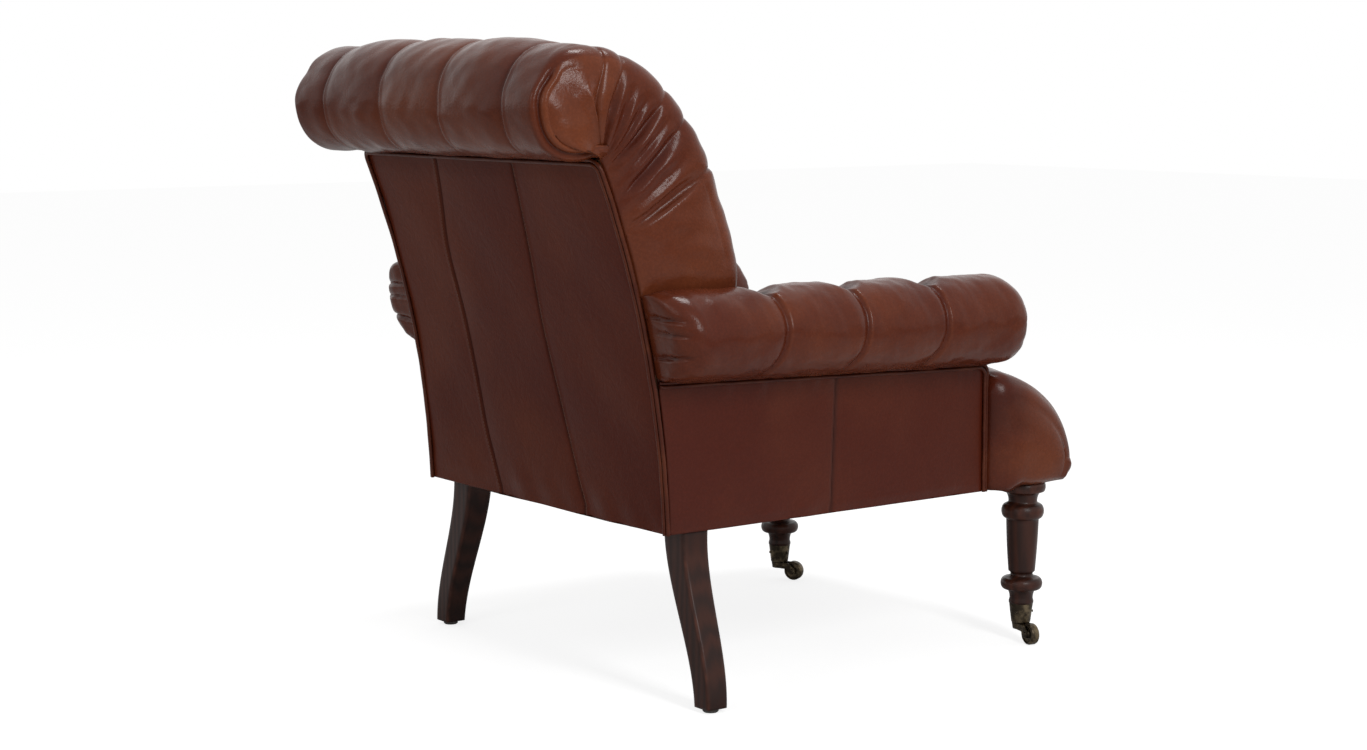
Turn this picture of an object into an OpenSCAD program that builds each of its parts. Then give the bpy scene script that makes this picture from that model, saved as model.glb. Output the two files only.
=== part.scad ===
// Library armchair in tufted leather: a swept back that ends in a top roll, rolled arms and a
// T-shaped tight seat, on two splayed rear legs and two turned front legs with brass casters.
// The origin is on the floor, in the middle of the chair's width and depth, and the chair faces -Y.

/* [Overall] */
// Height of the top roll's crest above the floor
overall_h = 901; // [880:1:920]
// Depth from the seat's nose to the rear of the top roll
overall_d = 967; // [945:1:990]
// Width over the side panels
body_w = 602; // [590:1:620]
// Depth of the side panels at their lower edge
body_d = 587; // [575:1:600]
// Height of the lower edge of the side and back panels
body_z = 242; // [232:1:252]

/* [Back] */
// Height of the outside back panel, measured upright
back_h = 500; // [485:1:505]
// Radius of the back's rearward sweep
sweep_r = 1440; // [1380:10:1560]
// Lean of the back at its foot, in degrees
back_lean = 2.2; // [1.8:0.1:2.6]
// How far the top roll reaches behind the foot of the outside back
scroll_reach = 217; // [212:1:225]
// Diameter of the top roll
scroll_d = 150; // [144:1:154]
// Width of the top roll over its rounded ends
scroll_w = 652; // [640:1:680]
// How far the back pad's lumbar stands in front of the outside back's foot
lumbar_reach = 118; // [112:1:126]
// Height of the lumbar, below which the back pad's front is upright
lumbar_z = 520; // [515:1:540]
// How much the back pad thins from its middle towards its sides
side_thin = 10; // [6:1:12]
// Height of the back pad's lower edge above the floor
back_pad_z = 372; // [366:1:380]
// Padding over the outer side of each back post and leg block
flap_t = 10; // [8:0.5:12]

/* [Seat] */
// Width of the seat's nose in front of the arms
seat_w = 652; // [640:1:668]
// Height of the seat's crown
seat_z = 446; // [438:1:452]
// How much the seat's side edges lie below its crown
seat_crown = 22; // [16:1:30]
// How far the front hem lies above the side panels' lower edge
front_lift = 12; // [8:1:16]
// Height of the seat nose's rounding
nose_h = 141; // [130:1:150]
// Depth of the seat nose's rounding
nose_d = 215; // [190:1:230]
// How far the nose's middle stands in front of its sides
nose_bow = 8; // [6:1:14]
// Padding between the nose and the front rail
nose_pad = 46; // [42:1:50]

/* [Arms] */
// Width of an arm roll
roll_w = 128; // [122:1:132]
// Height of the arm rolls' top above the floor
roll_top = 572; // [569:1:576]
// How far the middle of an arm roll lies outside the side panel
roll_out = 27; // [24:1:30]
// How far an arm roll stands in front of the side panel
roll_nose = 14; // [10:1:20]
// How much an arm roll's top falls towards its front
roll_drop = 6; // [3:1:9]
// Height of the seam under an arm roll, at the back
seam_rear = 452; // [448:1:456]
// Height of the seam under an arm roll, at the front
seam_front = 435; // [432:1:440]
// Thickness of the padding on the inside of an arm
inside_t = 19; // [17:1:21]

/* [Tufting] */
// Distance between two buttons in a row of the back
tuft_pitch = 155; // [148:1:160]
// Distance between two rows of back buttons, measured along the pad
tuft_row = 95; // [90:1:97]
// Distance from the crest to the top row of buttons, measured along the pad
tuft_start = 185; // [170:1:195]
// Depth of a pleat in the back
pleat_deep = 11; // [8:0.5:12]
// Depth that a button adds to its pleats
button_deep = 9; // [6:0.5:11]
// Diameter of a covered button
button_d = 20; // [17:1:22]
// Distance between two pleats of an arm roll
arm_pitch = 148; // [142:1:150]
// Distance from the side panel's front edge to the first pleat of an arm roll
arm_pleat_y = 168; // [160:1:175]
// Depth of a pleat in an arm roll
arm_pleat = 8; // [6:0.5:10]

/* [Frame] */
// Thickness of the rails
rail_t = 25; // [23:1:27]
// Height of the seat rails
rail_h = 80; // [76:1:84]
// Width of a back or arm post
post_w = 35; // [32:1:38]
// Depth of a back post
post_d = 50; // [46:1:54]
// Diameter of a back post's round head
head_d = 100; // [94:1:106]
// Thickness of an arm rail
arm_rail_t = 24; // [20:1:27]
// Width of an arm rail
arm_rail_w = 72; // [66:1:76]
// Width and depth of a front leg block
block_w = 54; // [52:1:58]
// Height of the leg and corner blocks
block_h = 45; // [40:1:50]
// Width of the rear corner blocks
corner_w = 46; // [42:1:50]
// Height of the back top rail and the back lower rail
cross_h = 46; // [42:1:50]
// Diameter of the scroll rail
scroll_rail_d = 56; // [50:1:60]

/* [Suspension] */
// Number of seat springs
spring_n = 5; // [4:1:6]
// Number of bends in a seat spring
bend_n = 14; // [12:2:16]
// Width of a seat spring over its bends
spring_w = 48; // [42:1:52]
// Diameter of the spring wire
wire_d = 3.8; // [3.4:0.1:4.2]
// Rise of the springs in the middle
spring_arch = 18; // [12:1:22]
// Width of a spring clip
clip_w = 16; // [12:1:20]
// Thickness of a spring clip's strip
clip_t = 1.6; // [1.2:0.1:2]
// Width of a webbing band
band_w = 50; // [42:1:54]
// Least distance between two webbing bands
band_gap = 6; // [4:1:10]
// Thickness of the webbing and the deck cloth
cloth_t = 1.5; // [1.2:0.1:2]

/* [Covers] */
// Thickness of the leather and its backing on the flat panels
leather_t = 3; // [2.6:0.1:3.6]
// Diameter of the welt cord
welt_d = 6; // [5:0.2:6.4]
// Thickness of the dust cover
dust_t = 1; // [0.8:0.1:1.4]

/* [Rear legs] */
// Width of a rear leg at its top
leg_top_w = 46; // [43:1:48]
// Depth of a rear leg at its top
leg_top_d = 43; // [40:1:46]
// Width and depth of a rear leg at its foot
leg_foot_w = 33; // [30:1:36]
// How far a rear leg's foot is set outward from its top
leg_splay = 56; // [46:1:62]
// How far a rear leg's rear face lies in front of the outside back's foot
leg_inset = 31; // [29:1:36]
// Thickness of a rear leg's mounting plate
plate_t = 3; // [2.5:0.1:4]
// How far a mounting plate stands out past the leg, inward and forward
plate_rim = 8; // [5:1:12]
// Diameter of a rear glide
glide_d = 22; // [18:1:26]
// Height of a rear glide
glide_h = 6; // [5:0.5:8]

/* [Front legs] */
// Diameter of a front leg's top collar
collar_d = 68; // [64:1:72]
// Diameter of the upper bead
bead_d = 64; // [60:1:68]
// Diameter of the taper below the upper bead
taper_d = 49; // [46:1:52]
// Diameter of the taper's lower end
ankle_d = 40; // [38:1:42]
// Diameter of the lower bead
ring_d = 63; // [58:1:66]
// Diameter of the necks between the turnings
neck_d = 33; // [31:1:36]
// Diameter of the leg bolts
bolt_d = 8; // [6:0.5:9]
// Depth of a leg bolt in its leg
bolt_deep = 45; // [35:1:50]

/* [Casters] */
// Diameter of a wheel
wheel_d = 32; // [30:0.5:33]
// Width of a wheel
wheel_w = 14; // [12:0.5:15]
// Distance from the swivel axis to the axle
trail = 27; // [26:0.5:30]
// Diameter of a caster cup at its mouth
cup_d = 36; // [35:0.5:37]
// Diameter of a caster cup at its lower end
cup_foot_d = 29; // [28:0.5:31]
// Height of a caster cup
cup_h = 30; // [28:1:32]
// Wall of a caster cup
cup_wall = 1.6; // [1.2:0.1:2]
// Height of the lower end of a caster cup above the floor
cup_z = 29; // [28.5:0.5:30]
// Diameter of a horn's boss below the cup
boss_d = 27; // [25:0.5:28]
// Height of a horn's boss
boss_h = 9; // [8:0.5:10]
// Diameter of a swivel pin
pin_d = 8; // [6:0.5:9]
// Diameter of an axle
axle_d = 5; // [4:0.5:6]
// Thickness of a fork cheek
cheek_t = 3; // [2.5:0.1:3.5]
// Diameter of a cup screw's head
screw_d = 5; // [4:0.5:6]
// Angle of the right caster's trail, seen from above, from +X
turn_right = 168; // [0:1:360]
// Angle of the left caster's trail, seen from above, from +X
turn_left = 207; // [0:1:360]

/* [Clearances] */
// Gap between padding, covers and what they lie on
gap = 0.3; // [0.25:0.05:0.4]
// Radial clearance of pins, axles, bolts and screws in their holes
run_fit = 0.05; // [0.03:0.01:0.08]

/* [Hidden] */
$fn = 48;

leather = [0.33, 0.12, 0.06];
pine = [0.76, 0.60, 0.40];
walnut = [0.12, 0.06, 0.04];
brass = [0.30, 0.25, 0.16];
steel = [0.45, 0.45, 0.47];
black = [0.05, 0.05, 0.05];
jute = [0.62, 0.52, 0.36];

// The sitter's right lies at -X
right = -1;
left = 1;
sides = [right, left];

// Main planes
foot_y = overall_d / 2 - scroll_reach;
nose_y = -overall_d / 2;
front_y = foot_y - body_d;
panel_x = body_w / 2;
frame_x = panel_x - leather_t - gap;
rail_z = body_z + plate_t;
rail_top = rail_z + rail_h;
hem_z = body_z + front_lift;
far = 2 * overall_h;

// The back's sweep is an arc about an axis along X, behind the chair. An offset is measured
// forward from the outside back's rear face.
arc_y = foot_y + sweep_r * cos(back_lean);
arc_z = body_z - sweep_r * sin(back_lean);
back_top = body_z + back_h;
post_in = leather_t + gap;
post_out = post_in + post_d;
post_x = frame_x - post_w;
function sweep_y(z, off = 0) = arc_y - sqrt(pow(sweep_r + off, 2) - pow(z - arc_z, 2));
function sweep_angle(z, off = 0) = asin((z - arc_z) / (sweep_r + off));

// Carries a profile, whose X is the radius and whose Y runs to the right, along the sweep
module along_sweep(z0, z1, off) {
  from = sweep_angle(z0, off);
  to = sweep_angle(z1, off);
  multmatrix([[0, 0, -1, 0], [-1, 0, 0, arc_y], [0, 1, 0, arc_z], [0, 0, 0, 1]])
    rotate_extrude(angle = to - from, start = from, $fn = 360) children();
}

// A bar that follows the sweep from height z0 to z1, between two offsets, from x0 to x1
module swept(z0, z1, off0, off1, x0, x1) {
  along_sweep(z0, z1, off0) translate([sweep_r + off0, -x1]) square([off1 - off0, x1 - x0]);
}

// The same bar with level ends
module level_swept(z0, z1, off0, off1, x0, x1) {
  intersection() {
    swept(z0 - rail_t, z1 + rail_t, off0, off1, x0, x1);
    span([x0, -far, z0], [x1, far, z1]);
  }
}

// All that lies behind the sweep at one offset, as a cutter
module behind_sweep(off) {
  translate([0, arc_y, arc_z]) rotate([0, 90, 0])
    cylinder(r = sweep_r + off, h = far, center = true, $fn = 360);
}

// Mirrors a part that is drawn on the left
module on(side) { if (side == left) children(); else mirror([1, 0, 0]) children(); }

// A box from its low corner to its high corner
module span(low, high) { translate(low) cube(high - low); }

// A rod along X
module rod(x0, x1, d, y, z) { translate([x0, y, z]) rotate([0, 90, 0]) cylinder(d = d, h = x1 - x0); }

// The walls between rings that all have n points
function walls(n, last) = [for (j = [0:last - 1], i = [0:n - 1])
  let (a = j * n + i, b = j * n + (i + 1) % n, c = a + n, d = b + n) each [[a, b, d], [a, d, c]]];
function flipped(faces, step) = [for (f = faces) [f[0] + step, f[2] + step, f[1] + step]];

// A closed solid through bent rings: each end is closed between its opposite points
module skin(rings) {
  n = len(rings[0]);
  last = len(rings) - 1;
  cap = [for (i = [0:n / 2 - 2]) each [[i, n - 1 - i, n - 2 - i], [i, n - 2 - i, i + 1]]];
  polyhedron([for (ring = rings) each ring], concat(walls(n, last), cap, flipped(cap, last * n)));
}

// A closed solid through convex rings: each end is a fan
module tube(rings) {
  n = len(rings[0]);
  last = len(rings) - 1;
  cap = [for (i = [1:n - 2]) [0, i + 1, i]];
  polyhedron([for (ring = rings) each ring], concat(walls(n, last), cap, flipped(cap, last * n)));
}

// How much a rounded end of length e takes off a form, at distance d from its very end
function end_round(d, e) = d >= e ? 0 : e - sqrt(e * e - pow(e - max(d, 0), 2));
function smooth(u) = let (t = min(max(u, 0), 1)) t * t * (3 - 2 * t);
function mix(a, b, t) = a + (b - a) * t;

// Seat frame

front_rail_y = nose_y + nose_pad;
block_x = seat_w / 2 - flap_t;
block_in = block_x - block_w;
block_end = front_rail_y + block_w;
leg_x = block_x - block_w / 2;
leg_y = front_rail_y + block_w / 2;
nut_d = bolt_d + 3;
nut_h = 12;

module front_rail() {
  color(pine) span([-block_in, front_rail_y, hem_z], [block_in, front_rail_y + rail_t, rail_top]);
}

// The block takes the leg's bolt and, in a wider hole from above, its T-nut
module leg_block(side) {
  color(pine) on(side) difference() {
    span([block_in, front_rail_y, hem_z], [block_x, block_end, hem_z + block_h]);
    translate([leg_x, leg_y, hem_z - 1]) cylinder(d = bolt_d + 2 * run_fit, h = block_h + 2);
    translate([leg_x, leg_y, hem_z + block_h - nut_h]) cylinder(d = nut_d + 2 * run_fit, h = nut_h + 1);
  }
}

// The rail runs from the leg block to the back post, and clears the front leg's collar
module side_rail(side) {
  color(pine) on(side) difference() {
    span([frame_x - rail_t, block_end, rail_z], [frame_x, foot_y, rail_top]);
    behind_sweep(post_out);
    collar_room();
  }
}

module collar_room() {
  translate([leg_x, leg_y, 0]) cylinder(d = collar_d + 2 * gap, h = hem_z + gap);
}

module rear_rail() {
  color(pine) level_swept(rail_z, rail_top, post_in, post_in + rail_t, -post_x, post_x);
}

// Glued blocks in the rear corners, between the rear rail, the back post and the side rail
module corner_blocks() {
  for (side = sides) color(pine) on(side) difference() {
    span([post_x - corner_w, sweep_y(rail_z, post_in + rail_t) - corner_w, rail_z],
         [post_x, foot_y, rail_z + block_h]);
    behind_sweep(post_in + rail_t);
  }
}

// Arm frame

// The seam under an arm roll drops towards the front, and the arm rail's underside lies over it
seam_slope = (seam_rear - seam_front) / body_d;
rail_lift = 8;
arm_rail_x = post_x + 6;
post_y = front_y + leather_t + gap;
function seam(y) = seam_front + (y - front_y) * seam_slope;

// Draws in a frame that lies on the seam line at the side panel's front edge and slopes with it
module on_seam(lift) { translate([0, front_y, seam_front + lift]) rotate([atan(seam_slope), 0, 0]) children(); }

module arm_rail_box(clear) {
  on_seam(rail_lift) span(
    [arm_rail_x - clear, post_y - front_y - clear, -clear],
    [arm_rail_x + arm_rail_w + clear, body_d + clear, arm_rail_t + clear]);
}

// The rail butts against the back post and passes it on its outer side
module arm_rail(side) {
  color(pine) on(side) difference() {
    arm_rail_box(0);
    behind_sweep(post_in + rail_t);
    intersection() {
      behind_sweep(post_out);
      span([0, 0, 0], [frame_x + gap, far, far]);
    }
  }
}

module arm_post(side) {
  color(pine) on(side) difference() {
    span([post_x, post_y, rail_top], [frame_x, post_y + post_w, roll_top]);
    on_seam(rail_lift) span([0, -post_w, 0], [far, far, far]);
  }
}

// Back frame

scroll_y = foot_y + scroll_reach - scroll_d / 2;
scroll_z = overall_h - scroll_d / 2;

// A swept stem that ends in a round head inside the top roll
module back_post_shape(clear) {
  difference() {
    swept(body_z - post_w, scroll_z, post_in - clear, post_out + clear, post_x - clear, frame_x + clear);
    span([0, 0, 0], [far, far, rail_z - clear]);
  }
  rod(post_x - clear, frame_x + clear, head_d + 2 * clear, scroll_y, scroll_z);
}

module back_post(side) { color(pine) on(side) back_post_shape(0); }

lower_rail_z = back_pad_z + 16;
module back_lower_rail() {
  color(pine) swept(lower_rail_z, lower_rail_z + cross_h, post_out - rail_t, post_out, -post_x, post_x);
}

module back_top_rail() {
  color(pine) difference() {
    swept(back_top - cross_h, back_top, post_in, post_in + rail_t, -post_x, post_x);
    rod(-frame_x, frame_x, scroll_rail_d + 2 * gap, scroll_y, scroll_z);
  }
}

module scroll_rail() { color(pine) rod(-post_x, post_x, scroll_rail_d, scroll_y, scroll_z); }

// Seat springs

spring_y0 = front_rail_y + rail_t / 2;
spring_y1 = foot_y - post_in - rail_t / 2;
spring_z = rail_top + clip_t + gap + wire_d / 2;
spring_margin = 45;
spring_reach = frame_x - rail_t - spring_w / 2 - spring_margin;
wire_sides = 5;
bend_steps = 4;
function arch(y) = spring_arch * sin(180 * (y - spring_y0) / (spring_y1 - spring_y0));
function spring_x(i) = spring_reach * (2 * i / (spring_n - 1) - 1);

// A zigzag wire: a sine wave in plan, that rises to its middle. The ring turns with the heading.
module spring() {
  swing = spring_w / 2 - wire_d / 2;
  steepest = PI * bend_n * swing / (spring_y1 - spring_y0);
  tube([for (k = [0:bend_n * bend_steps]) let (
      u = k / (bend_n * bend_steps),
      y = mix(spring_y0, spring_y1, u),
      phase = 180 * bend_n * u,
      heading = atan(steepest * cos(phase))
    ) [for (s = [0:wire_sides - 1]) let (a = 360 * s / wire_sides, out = wire_d / 2 * cos(a)) [
      swing * sin(phase) + out * cos(heading),
      y - out * sin(heading),
      spring_z + arch(y) + wire_d / 2 * sin(a)
    ]]]);
}

module seat_springs() { color(steel) for (i = [0:spring_n - 1]) translate([spring_x(i), 0, 0]) spring(); }

// A clip is a bent strip: its foot lies on the rail and its lip holds the spring's end
clip_h = wire_d + 2 * gap + 2 * clip_t;
clip_d = wire_d + 8;
module spring_clips() {
  for (i = [0:spring_n - 1], end = [-1, 1])
    color(steel)
      translate([spring_x(i) - clip_w / 2, end < 0 ? spring_y0 : spring_y1, rail_top])
        rotate([90, 0, 90]) linear_extrude(clip_w) mirror([end < 0 ? 1 : 0, 0]) difference() {
          translate([-wire_d / 2, 0]) square([clip_d, clip_h]);
          translate([-wire_d, clip_t]) square([clip_d + wire_d / 2 - clip_t, clip_h - 2 * clip_t]);
        }
}

// The deck cloth lies on the clips and follows the springs' rise
deck_z = rail_top + clip_h + gap;
deck_top = deck_z + cloth_t + gap;
deck_end = foot_y - post_out;
deck_steps = 16;
inside_x = post_x - inside_t - gap;
// Width over which the seat pad steps in behind the arms and up over the frame
lap = 4 * gap;
function deck_line(z) = [for (k = [0:deck_steps])
  let (y = mix(spring_y0, deck_end, k / deck_steps)) [y, z + arch(y)]];
function reversed(list) = [for (k = [len(list) - 1:-1:0]) list[k]];

module seat_deck() {
  half = inside_x - lap - gap;
  color(jute) translate([-half, 0, 0]) rotate([90, 0, 90]) linear_extrude(2 * half)
    polygon(concat(deck_line(deck_z), reversed(deck_line(deck_z + cloth_t))));
}

// Bands of webbing across the fronts of the back posts, as many as have room
band_low = seam_rear + rail_lift + arm_rail_t + band_w / 2 + band_gap;
band_high = back_top - band_w;
band_n = 1 + floor((band_high - band_low) / (band_w + band_gap));
module back_webbing() {
  for (i = [0:band_n - 1]) let (z = mix(band_low, band_high, i / max(band_n - 1, 1)))
    color(jute) swept(z - band_w / 2, z + band_w / 2, post_out, post_out + cloth_t, -frame_x, frame_x);
}

// Seat pad

ear_y = front_y - gap;
seat_end = foot_y - lumbar_reach - gap;
side_round = 26;
nose_steps = 9;
base_steps = 15;

// Height of the seat's top: highest on the middle line, and lower towards the sides and the front
function seat_top(x, y) = seat_z - seat_crown * pow(2 * x / seat_w, 2)
  - seat_crown / 3 * pow((y - seat_end) / (nose_y - seat_end), 2);

// One section of the seat at x, from its rear over the top and the nose to the hem, and back below.
// It is taken in by `shy` towards the pad's side. A deep section reaches down to the hem all over.
function seat_ring(x, shy, rear, deep) = let (
    nose = nose_y + nose_bow * pow(2 * x / seat_w, 2) + shy,
    turn = nose + nose_d,
    top_end = min(turn, rear - 20),
    flat = [for (k = [0:5]) let (y = mix(rear, top_end, k / 6)) [x, y, seat_top(x, y) - shy]],
    round = [for (k = [0:nose_steps]) let (
        a = 90 * k / nose_steps,
        y = min(turn - nose_d * sin(a), top_end)
      ) [x, y, seat_top(x, turn) - shy - nose_h * (1 - cos(a))]],
    hem = [for (h = [[0.1, 12], [0.45, gap]]) [x, mix(nose, front_rail_y - gap, h[0]), hem_z + h[1]]],
    foot = [[x, front_rail_y - gap, hem_z + gap],
            deep ? [x, front_rail_y + 2, hem_z + gap] : [x, front_rail_y - gap, deck_top]],
    base = [for (k = [0:base_steps]) let (y = mix(spring_y0, rear, k / base_steps))
      [x, y, deep ? hem_z + gap : deck_top + arch(y)]]
  ) concat(flat, round, hem, foot, base);

module seat_pad() {
  half = seat_w / 2;
  deep_x = frame_x + gap;
  side = concat(
    [for (d = [0, 4, 12, side_round]) [half - d, end_round(d, side_round), ear_y, true]],
    [[deep_x + lap, 0, ear_y, true], [deep_x, 0, ear_y, false]],
    [[inside_x, 0, ear_y, false], [inside_x - lap, 0, seat_end, false]],
    [for (f = [0.9, 0.7, 0.45, 0.2]) [inside_x * f, 0, seat_end, false]]);
  stations = concat([for (s = side) s], [[0, 0, seat_end, false]],
                    [for (s = reversed(side)) [-s[0], s[1], s[2], s[3]]]);
  color(leather) difference() {
    skin([for (s = stations) seat_ring(s[0], s[1], s[2], s[3])]);
    for (side = sides) on(side)
      span([block_in - gap, front_rail_y - 2 * gap, 0], [block_x + gap, block_end + gap, rail_top + gap]);
  }
}

// Back pad

// The crest lies over the roll's middle, and the front falls from it in a quarter ellipse
front_deep = foot_y - lumbar_reach;
crest_h = overall_h - lumbar_z;
crest_l = scroll_y - front_deep;
pad_half = frame_x + flap_t;
scroll_half = scroll_w / 2;
pad_round = 28;
seam_steps = 5;
roll_steps = 12;
roll_from = -100;
roll_to = 20;

// Length along the front from the crest, as one quarter of an ellipse and then straight down
quarter = PI / 4 * (3 * (crest_l + crest_h) - sqrt((3 * crest_l + crest_h) * (crest_l + 3 * crest_h)));
function front_at(s) = s < quarter
  ? let (a = 90 * s / quarter) [scroll_y - crest_l * sin(a), lumbar_z + crest_h * cos(a)]
  : [front_deep, lumbar_z - (s - quarter)];

// Rows of buttons lie at these lengths, and the outline has a point on each row and between two
front_end = quarter + lumbar_z - back_pad_z;
front_s = concat(
  [for (k = [1:3]) (tuft_start - tuft_row / 2) * k / 3],
  [for (k = [0:6]) tuft_start + k * tuft_row / 2],
  [tuft_start + 3 * tuft_row + (front_end - tuft_start - 3 * tuft_row) / 2, front_end]);

// The outline: up the sweep to the seam, round the roll to the crest, and down the front.
// Each point holds y, z and its length along the front, which is 0 behind the crest.
back_outline = concat(
  [for (k = [0:seam_steps]) let (z = mix(back_pad_z, back_top + welt_d + 2 * gap, k / seam_steps))
    [sweep_y(z, post_in + gap), z, -1]],
  [for (k = [0:roll_steps - 1]) let (a = mix(roll_from, roll_to, k / (roll_steps - 1)))
    [scroll_y + scroll_d / 2 * cos(a), scroll_z + scroll_d / 2 * sin(a), 0]],
  [for (k = [1:6]) let (a = mix(roll_to, 90, k / 6))
    [scroll_y + scroll_d / 2 * cos(a), scroll_z + scroll_d / 2 * sin(a), 0]],
  [for (s = front_s) let (p = front_at(s)) [p[0], p[1], s]]);
outline_n = len(back_outline);

// Outward direction at a point of the outline, from its neighbours
function outward(i) = let (
    a = back_outline[max(i - 1, 0)],
    b = back_outline[min(i + 1, outline_n - 1)],
    d = [b[0] - a[0], b[1] - a[1]]
  ) [d[1], -d[0]] / norm(d);

// Puffs between pleats: 0 on a pleat and 1 in the middle of a puff. Over the roll the pleats run
// straight, between the rows they cross in diamonds, and below the last row they run straight again.
function ridge(t) = pow(abs(sin(180 * t)), 0.6);
function puff(x, s) = let (
    u = x / tuft_pitch - 0.5,
    v = (s - tuft_start) / tuft_row
  ) v < 0 ? ridge(u) : v > 3 ? ridge(u + 0.5) : ridge(u + v / 2) * ridge(u - v / 2);

// Depth of the nearest button's dimple, with a flat bottom
dimple_r = 30;
function button_x(row) = row % 2 == 0 ? [-1.5, -0.5, 0.5, 1.5] * tuft_pitch : [-1, 0, 1] * tuft_pitch;
function dimple(x, s) = max([for (row = [0:3], bx = button_x(row))
  let (r = norm([x - bx, s - tuft_start - row * tuft_row]))
  min(1, max(0, 1.6 * (1 - pow(r / dimple_r, 2))))]);
function tuft(x, s) = s < 0 ? 0 : pleat_deep * (1 - puff(x, s)) + button_deep * dimple(x, s);

// How much the pad's upper part lies below its middle at a distance to the side. The rise is the
// upward share of the outline's normal, so that the upright lumbar keeps its fullness.
function thin_at(x, rise) =
  side_thin * smooth((abs(x) - tuft_pitch) / (scroll_half - tuft_pitch)) * smooth(2 * rise);

// The roll is wider than the back below it, and both ends are rounded
function half_at(z) = mix(pad_half, scroll_half, smooth((z - back_top + 60) / 90));
function widen(x, z) = let (inner = 1.6 * tuft_pitch) abs(x) <= inner ? x
  : sign(x) * mix(inner, half_at(z), (abs(x) - inner) / (scroll_half - inner));

function back_ring(x) = [for (i = [0:outline_n - 1]) let (
    p = back_outline[i],
    n = outward(i),
    shy = p[2] < 0 ? 0 : end_round(scroll_half - abs(x), pad_round) + thin_at(x, n[1]) + tuft(x, p[2])
  ) [widen(x, p[1]), p[0] - n[0] * shy, p[1] - n[1] * shy]];

module back_pad() {
  near_button = 11;
  inner = [for (c = [-3:2]) each [
    c * tuft_pitch / 2, c * tuft_pitch / 2 + near_button,
    (c + 0.5) * tuft_pitch / 2, (c + 1) * tuft_pitch / 2 - near_button]];
  outer = [for (d = [pad_round * 1.6, 14, 4, 0]) scroll_half - d];
  stations = reversed(concat([for (x = reversed(outer)) -x], inner, [3 * tuft_pitch / 2], outer));
  color(leather) difference() {
    skin([for (x = stations) back_ring(x)]);
    // Room for the posts, the rails between them and the webbing
    swept(body_z, back_top + gap, -post_d, post_out + cloth_t + gap, -(frame_x + gap), frame_x + gap);
    for (side = sides) on(side) {
      back_post_shape(gap);
      span([post_x - gap, 0, 0], [far, far, seam_rear + rail_lift + arm_rail_t + 4]);
    }
    rod(-post_x, post_x, scroll_rail_d + 2 * gap, scroll_y, scroll_z);
  }
}

// A covered button: a low dome on a flat back, with a shank that reaches down into its dimple
button_h = 7;
button_seat = 5;
shank_d = 4;
module button(shank) {
  dome = (pow(button_d / 2, 2) + pow(button_h, 2)) / (2 * button_h);
  rotate_extrude($fn = 24) intersection() {
    translate([0, button_h - dome]) circle(r = dome);
    square([button_d / 2, button_h]);
  }
  translate([0, 0, -shank]) cylinder(d = shank_d, h = shank + button_h / 2, $fn = 24);
}

// Direction of the pad's front at a length along it, as the angle of its normal above -Y
function front_tilt(s) = let (a = front_at(s - 1), b = front_at(s + 1)) atan2(a[0] - b[0], a[1] - b[1]);

module back_buttons() {
  for (row = [0:3], x = button_x(row)) let (
    s = tuft_start + row * tuft_row,
    p = front_at(s),
    tilt = front_tilt(s),
    sunk = pleat_deep + button_deep - button_seat + thin_at(x, sin(tilt))
  ) color(leather)
      translate([x, p[0] + sunk * cos(tilt), p[1] - sunk * sin(tilt)])
        rotate([90 - tilt, 0, 0]) button(button_seat - 4 * gap);
}

// Arm rolls

roll_x = panel_x + roll_out;
roll_mid = (roll_top + seam_rear) / 2;
roll_front = front_y - roll_nose;
roll_end = sweep_y(roll_mid, welt_d / 2 + gap);
front_round = 52;
rear_round = 30;
roll_n = 24;
pleat_w = 16;
// The rearmost pleat ends in front of the back pad
function pleat_y(k) = min(front_y + arm_pleat_y + k * arm_pitch, front_deep - button_d / 2 - 1);
function roll_top_at(y) = roll_top - roll_drop * smooth((pleat_y(2) - y) / (pleat_y(2) - roll_front));
function arm_dent(y) = max([for (k = [0:2]) exp(-pow((y - pleat_y(k)) / pleat_w, 2))]);

// One section of a roll: an ellipse that rests on the seam. Both ends are rounded, and the rear end
// leans with the back.
function roll_ring(y) = let (
    low = seam(max(y, front_y)) + gap,
    taken = end_round(y - roll_front, front_round) / front_round + end_round(roll_end - y, rear_round) / roll_w,
    shrink = max(0.12, 1 - taken),
    top = roll_top_at(y),
    mid = (top + low) / 2,
    dent = arm_pleat * arm_dent(y),
    lean = smooth((y - pleat_y(2)) / (roll_end - pleat_y(2)))
  ) [for (i = [0:roll_n - 1]) let (
      a = 360 * i / roll_n,
      z = mid + ((top - low) / 2 * shrink - dent * max(sin(a), 0)) * sin(a)
    ) [roll_x + (roll_w / 2 * shrink - dent) * cos(a), y + lean * (sweep_y(z) - sweep_y(roll_mid)), z]];

module arm_roll(side) {
  front = [for (t = [0, 0.04, 0.15, 0.35, 0.62]) roll_front + front_round * t];
  pleats = [for (k = [0:2], d = [-44, -20, -8, 0, 8, 20, 44]) pleat_y(k) + d];
  rear = [for (t = [2.4, 0.7, 0.3, 0.1, 0]) roll_end - rear_round * t];
  color(leather) on(side) difference() {
    tube([for (y = concat(front, [front_y + 40, front_y + 82], pleats, rear)) roll_ring(y)]);
    arm_rail_box(gap);
    // Below the arm rail stand the arm post and the side panel
    on_seam(rail_lift + gap) span([-far, -far, -far], [panel_x + gap, far, 0]);
    // The back pad stands inside the roll's rear half
    span([0, front_deep - gap, 0], [pad_half + gap, far, far]);
  }
}

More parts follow.
